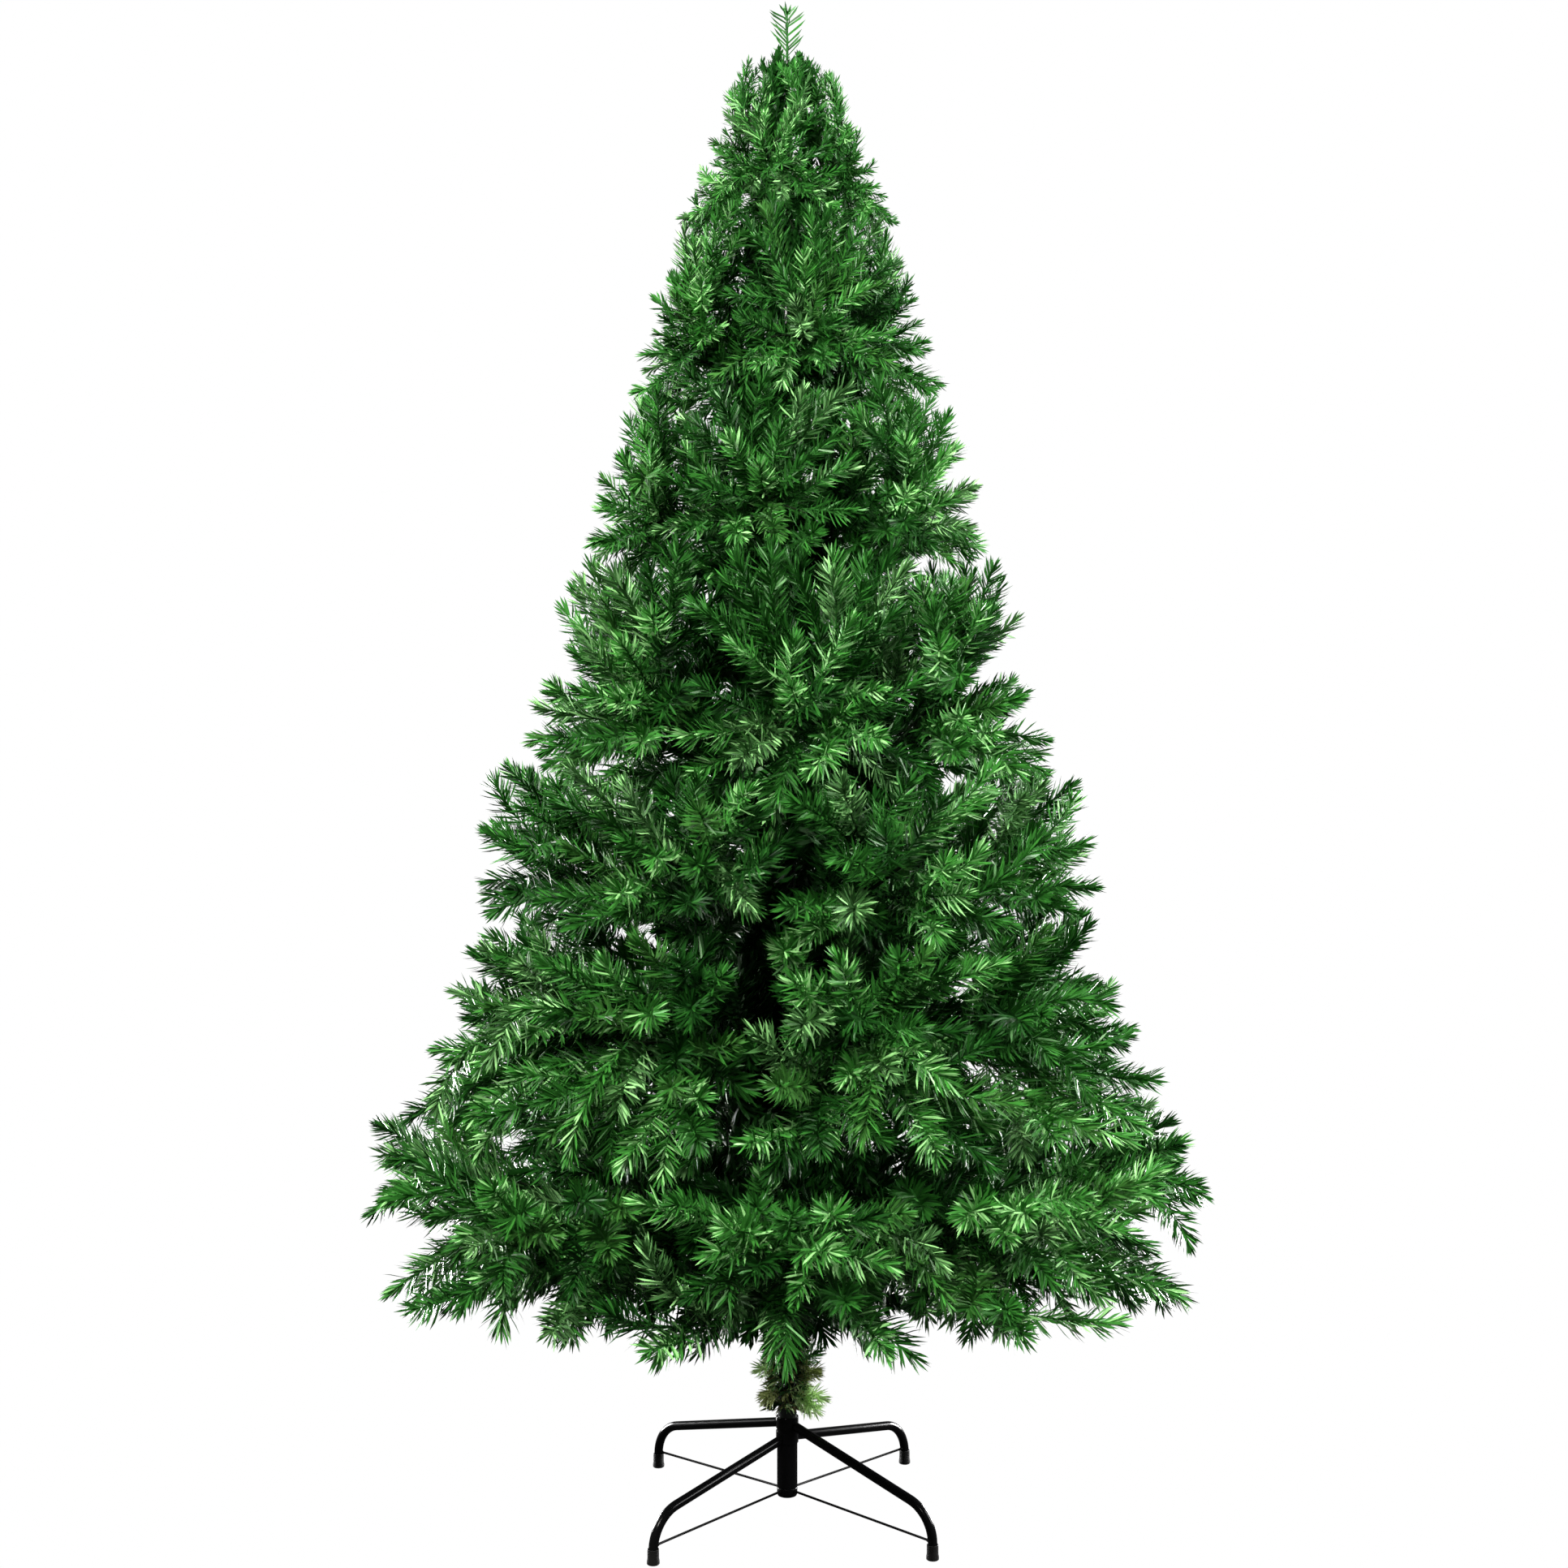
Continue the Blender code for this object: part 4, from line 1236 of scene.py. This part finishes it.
def make_world():
    """White to the camera, and a dimmer white as light."""
    world = bpy.data.worlds.new("studio")
    bpy.context.scene.world = world
    world.use_nodes = True
    nodes = world.node_tree.nodes
    links = world.node_tree.links
    light = nodes["Background"]
    light.inputs["Color"].default_value = (*WHITE, 1.0)
    light.inputs["Strength"].default_value = SKY_LIGHT
    seen = nodes.new("ShaderNodeBackground")
    seen.inputs["Color"].default_value = (*WHITE, 1.0)
    seen.inputs["Strength"].default_value = 1.0
    path = nodes.new("ShaderNodeLightPath")
    mix = nodes.new("ShaderNodeMixShader")
    links.new(path.outputs["Is Camera Ray"], mix.inputs["Fac"])
    links.new(light.outputs["Background"], mix.inputs[1])
    links.new(seen.outputs["Background"], mix.inputs[2])
    links.new(mix.outputs["Shader"], nodes["World Output"].inputs["Surface"])


def make_lamp(lamp):
    light = bpy.data.lights.new(lamp.name, "AREA")
    light.shape = "RECTANGLE"
    light.size, light.size_y = lamp.size
    light.energy = lamp.power
    light.color = lamp.colour
    obj = bpy.data.objects.new(lamp.name, light)
    bpy.context.scene.collection.objects.link(obj)
    obj.location = lamp.place
    ahead = Vector(lamp.target) - Vector(lamp.place)
    obj.rotation_euler = ahead.to_track_quat("-Z", "Y").to_euler()
    obj.visible_camera = False
    obj.visible_glossy = lamp.glossy
    obj.visible_diffuse = lamp.diffuse


def make_camera():
    camera = bpy.data.cameras.new("camera")
    camera.lens = CAMERA_LENS
    camera.sensor_width = CAMERA_SENSOR
    camera.sensor_fit = "HORIZONTAL"
    camera.shift_y = CAMERA_SHIFT
    obj = bpy.data.objects.new("camera", camera)
    bpy.context.scene.collection.objects.link(obj)
    obj.location = CAMERA_PLACE
    obj.rotation_euler = (math.radians(90.0), 0.0, 0.0)
    bpy.context.scene.camera = obj


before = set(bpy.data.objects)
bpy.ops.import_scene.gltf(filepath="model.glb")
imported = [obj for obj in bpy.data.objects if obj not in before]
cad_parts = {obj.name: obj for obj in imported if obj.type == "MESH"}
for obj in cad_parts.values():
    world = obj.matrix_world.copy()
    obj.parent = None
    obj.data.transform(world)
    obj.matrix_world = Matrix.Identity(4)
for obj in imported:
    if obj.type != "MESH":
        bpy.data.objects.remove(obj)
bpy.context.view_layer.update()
bpy.context.scene.view_settings.view_transform = "Standard"
make_camera()
make_world()
for lamp in LAMPS:
    make_lamp(lamp)
make_floor()
finishes = make_materials()
make_stand(finishes)
make_pole(finishes)
make_garland(finishes)
make_leader(finishes)
make_crown(finishes)
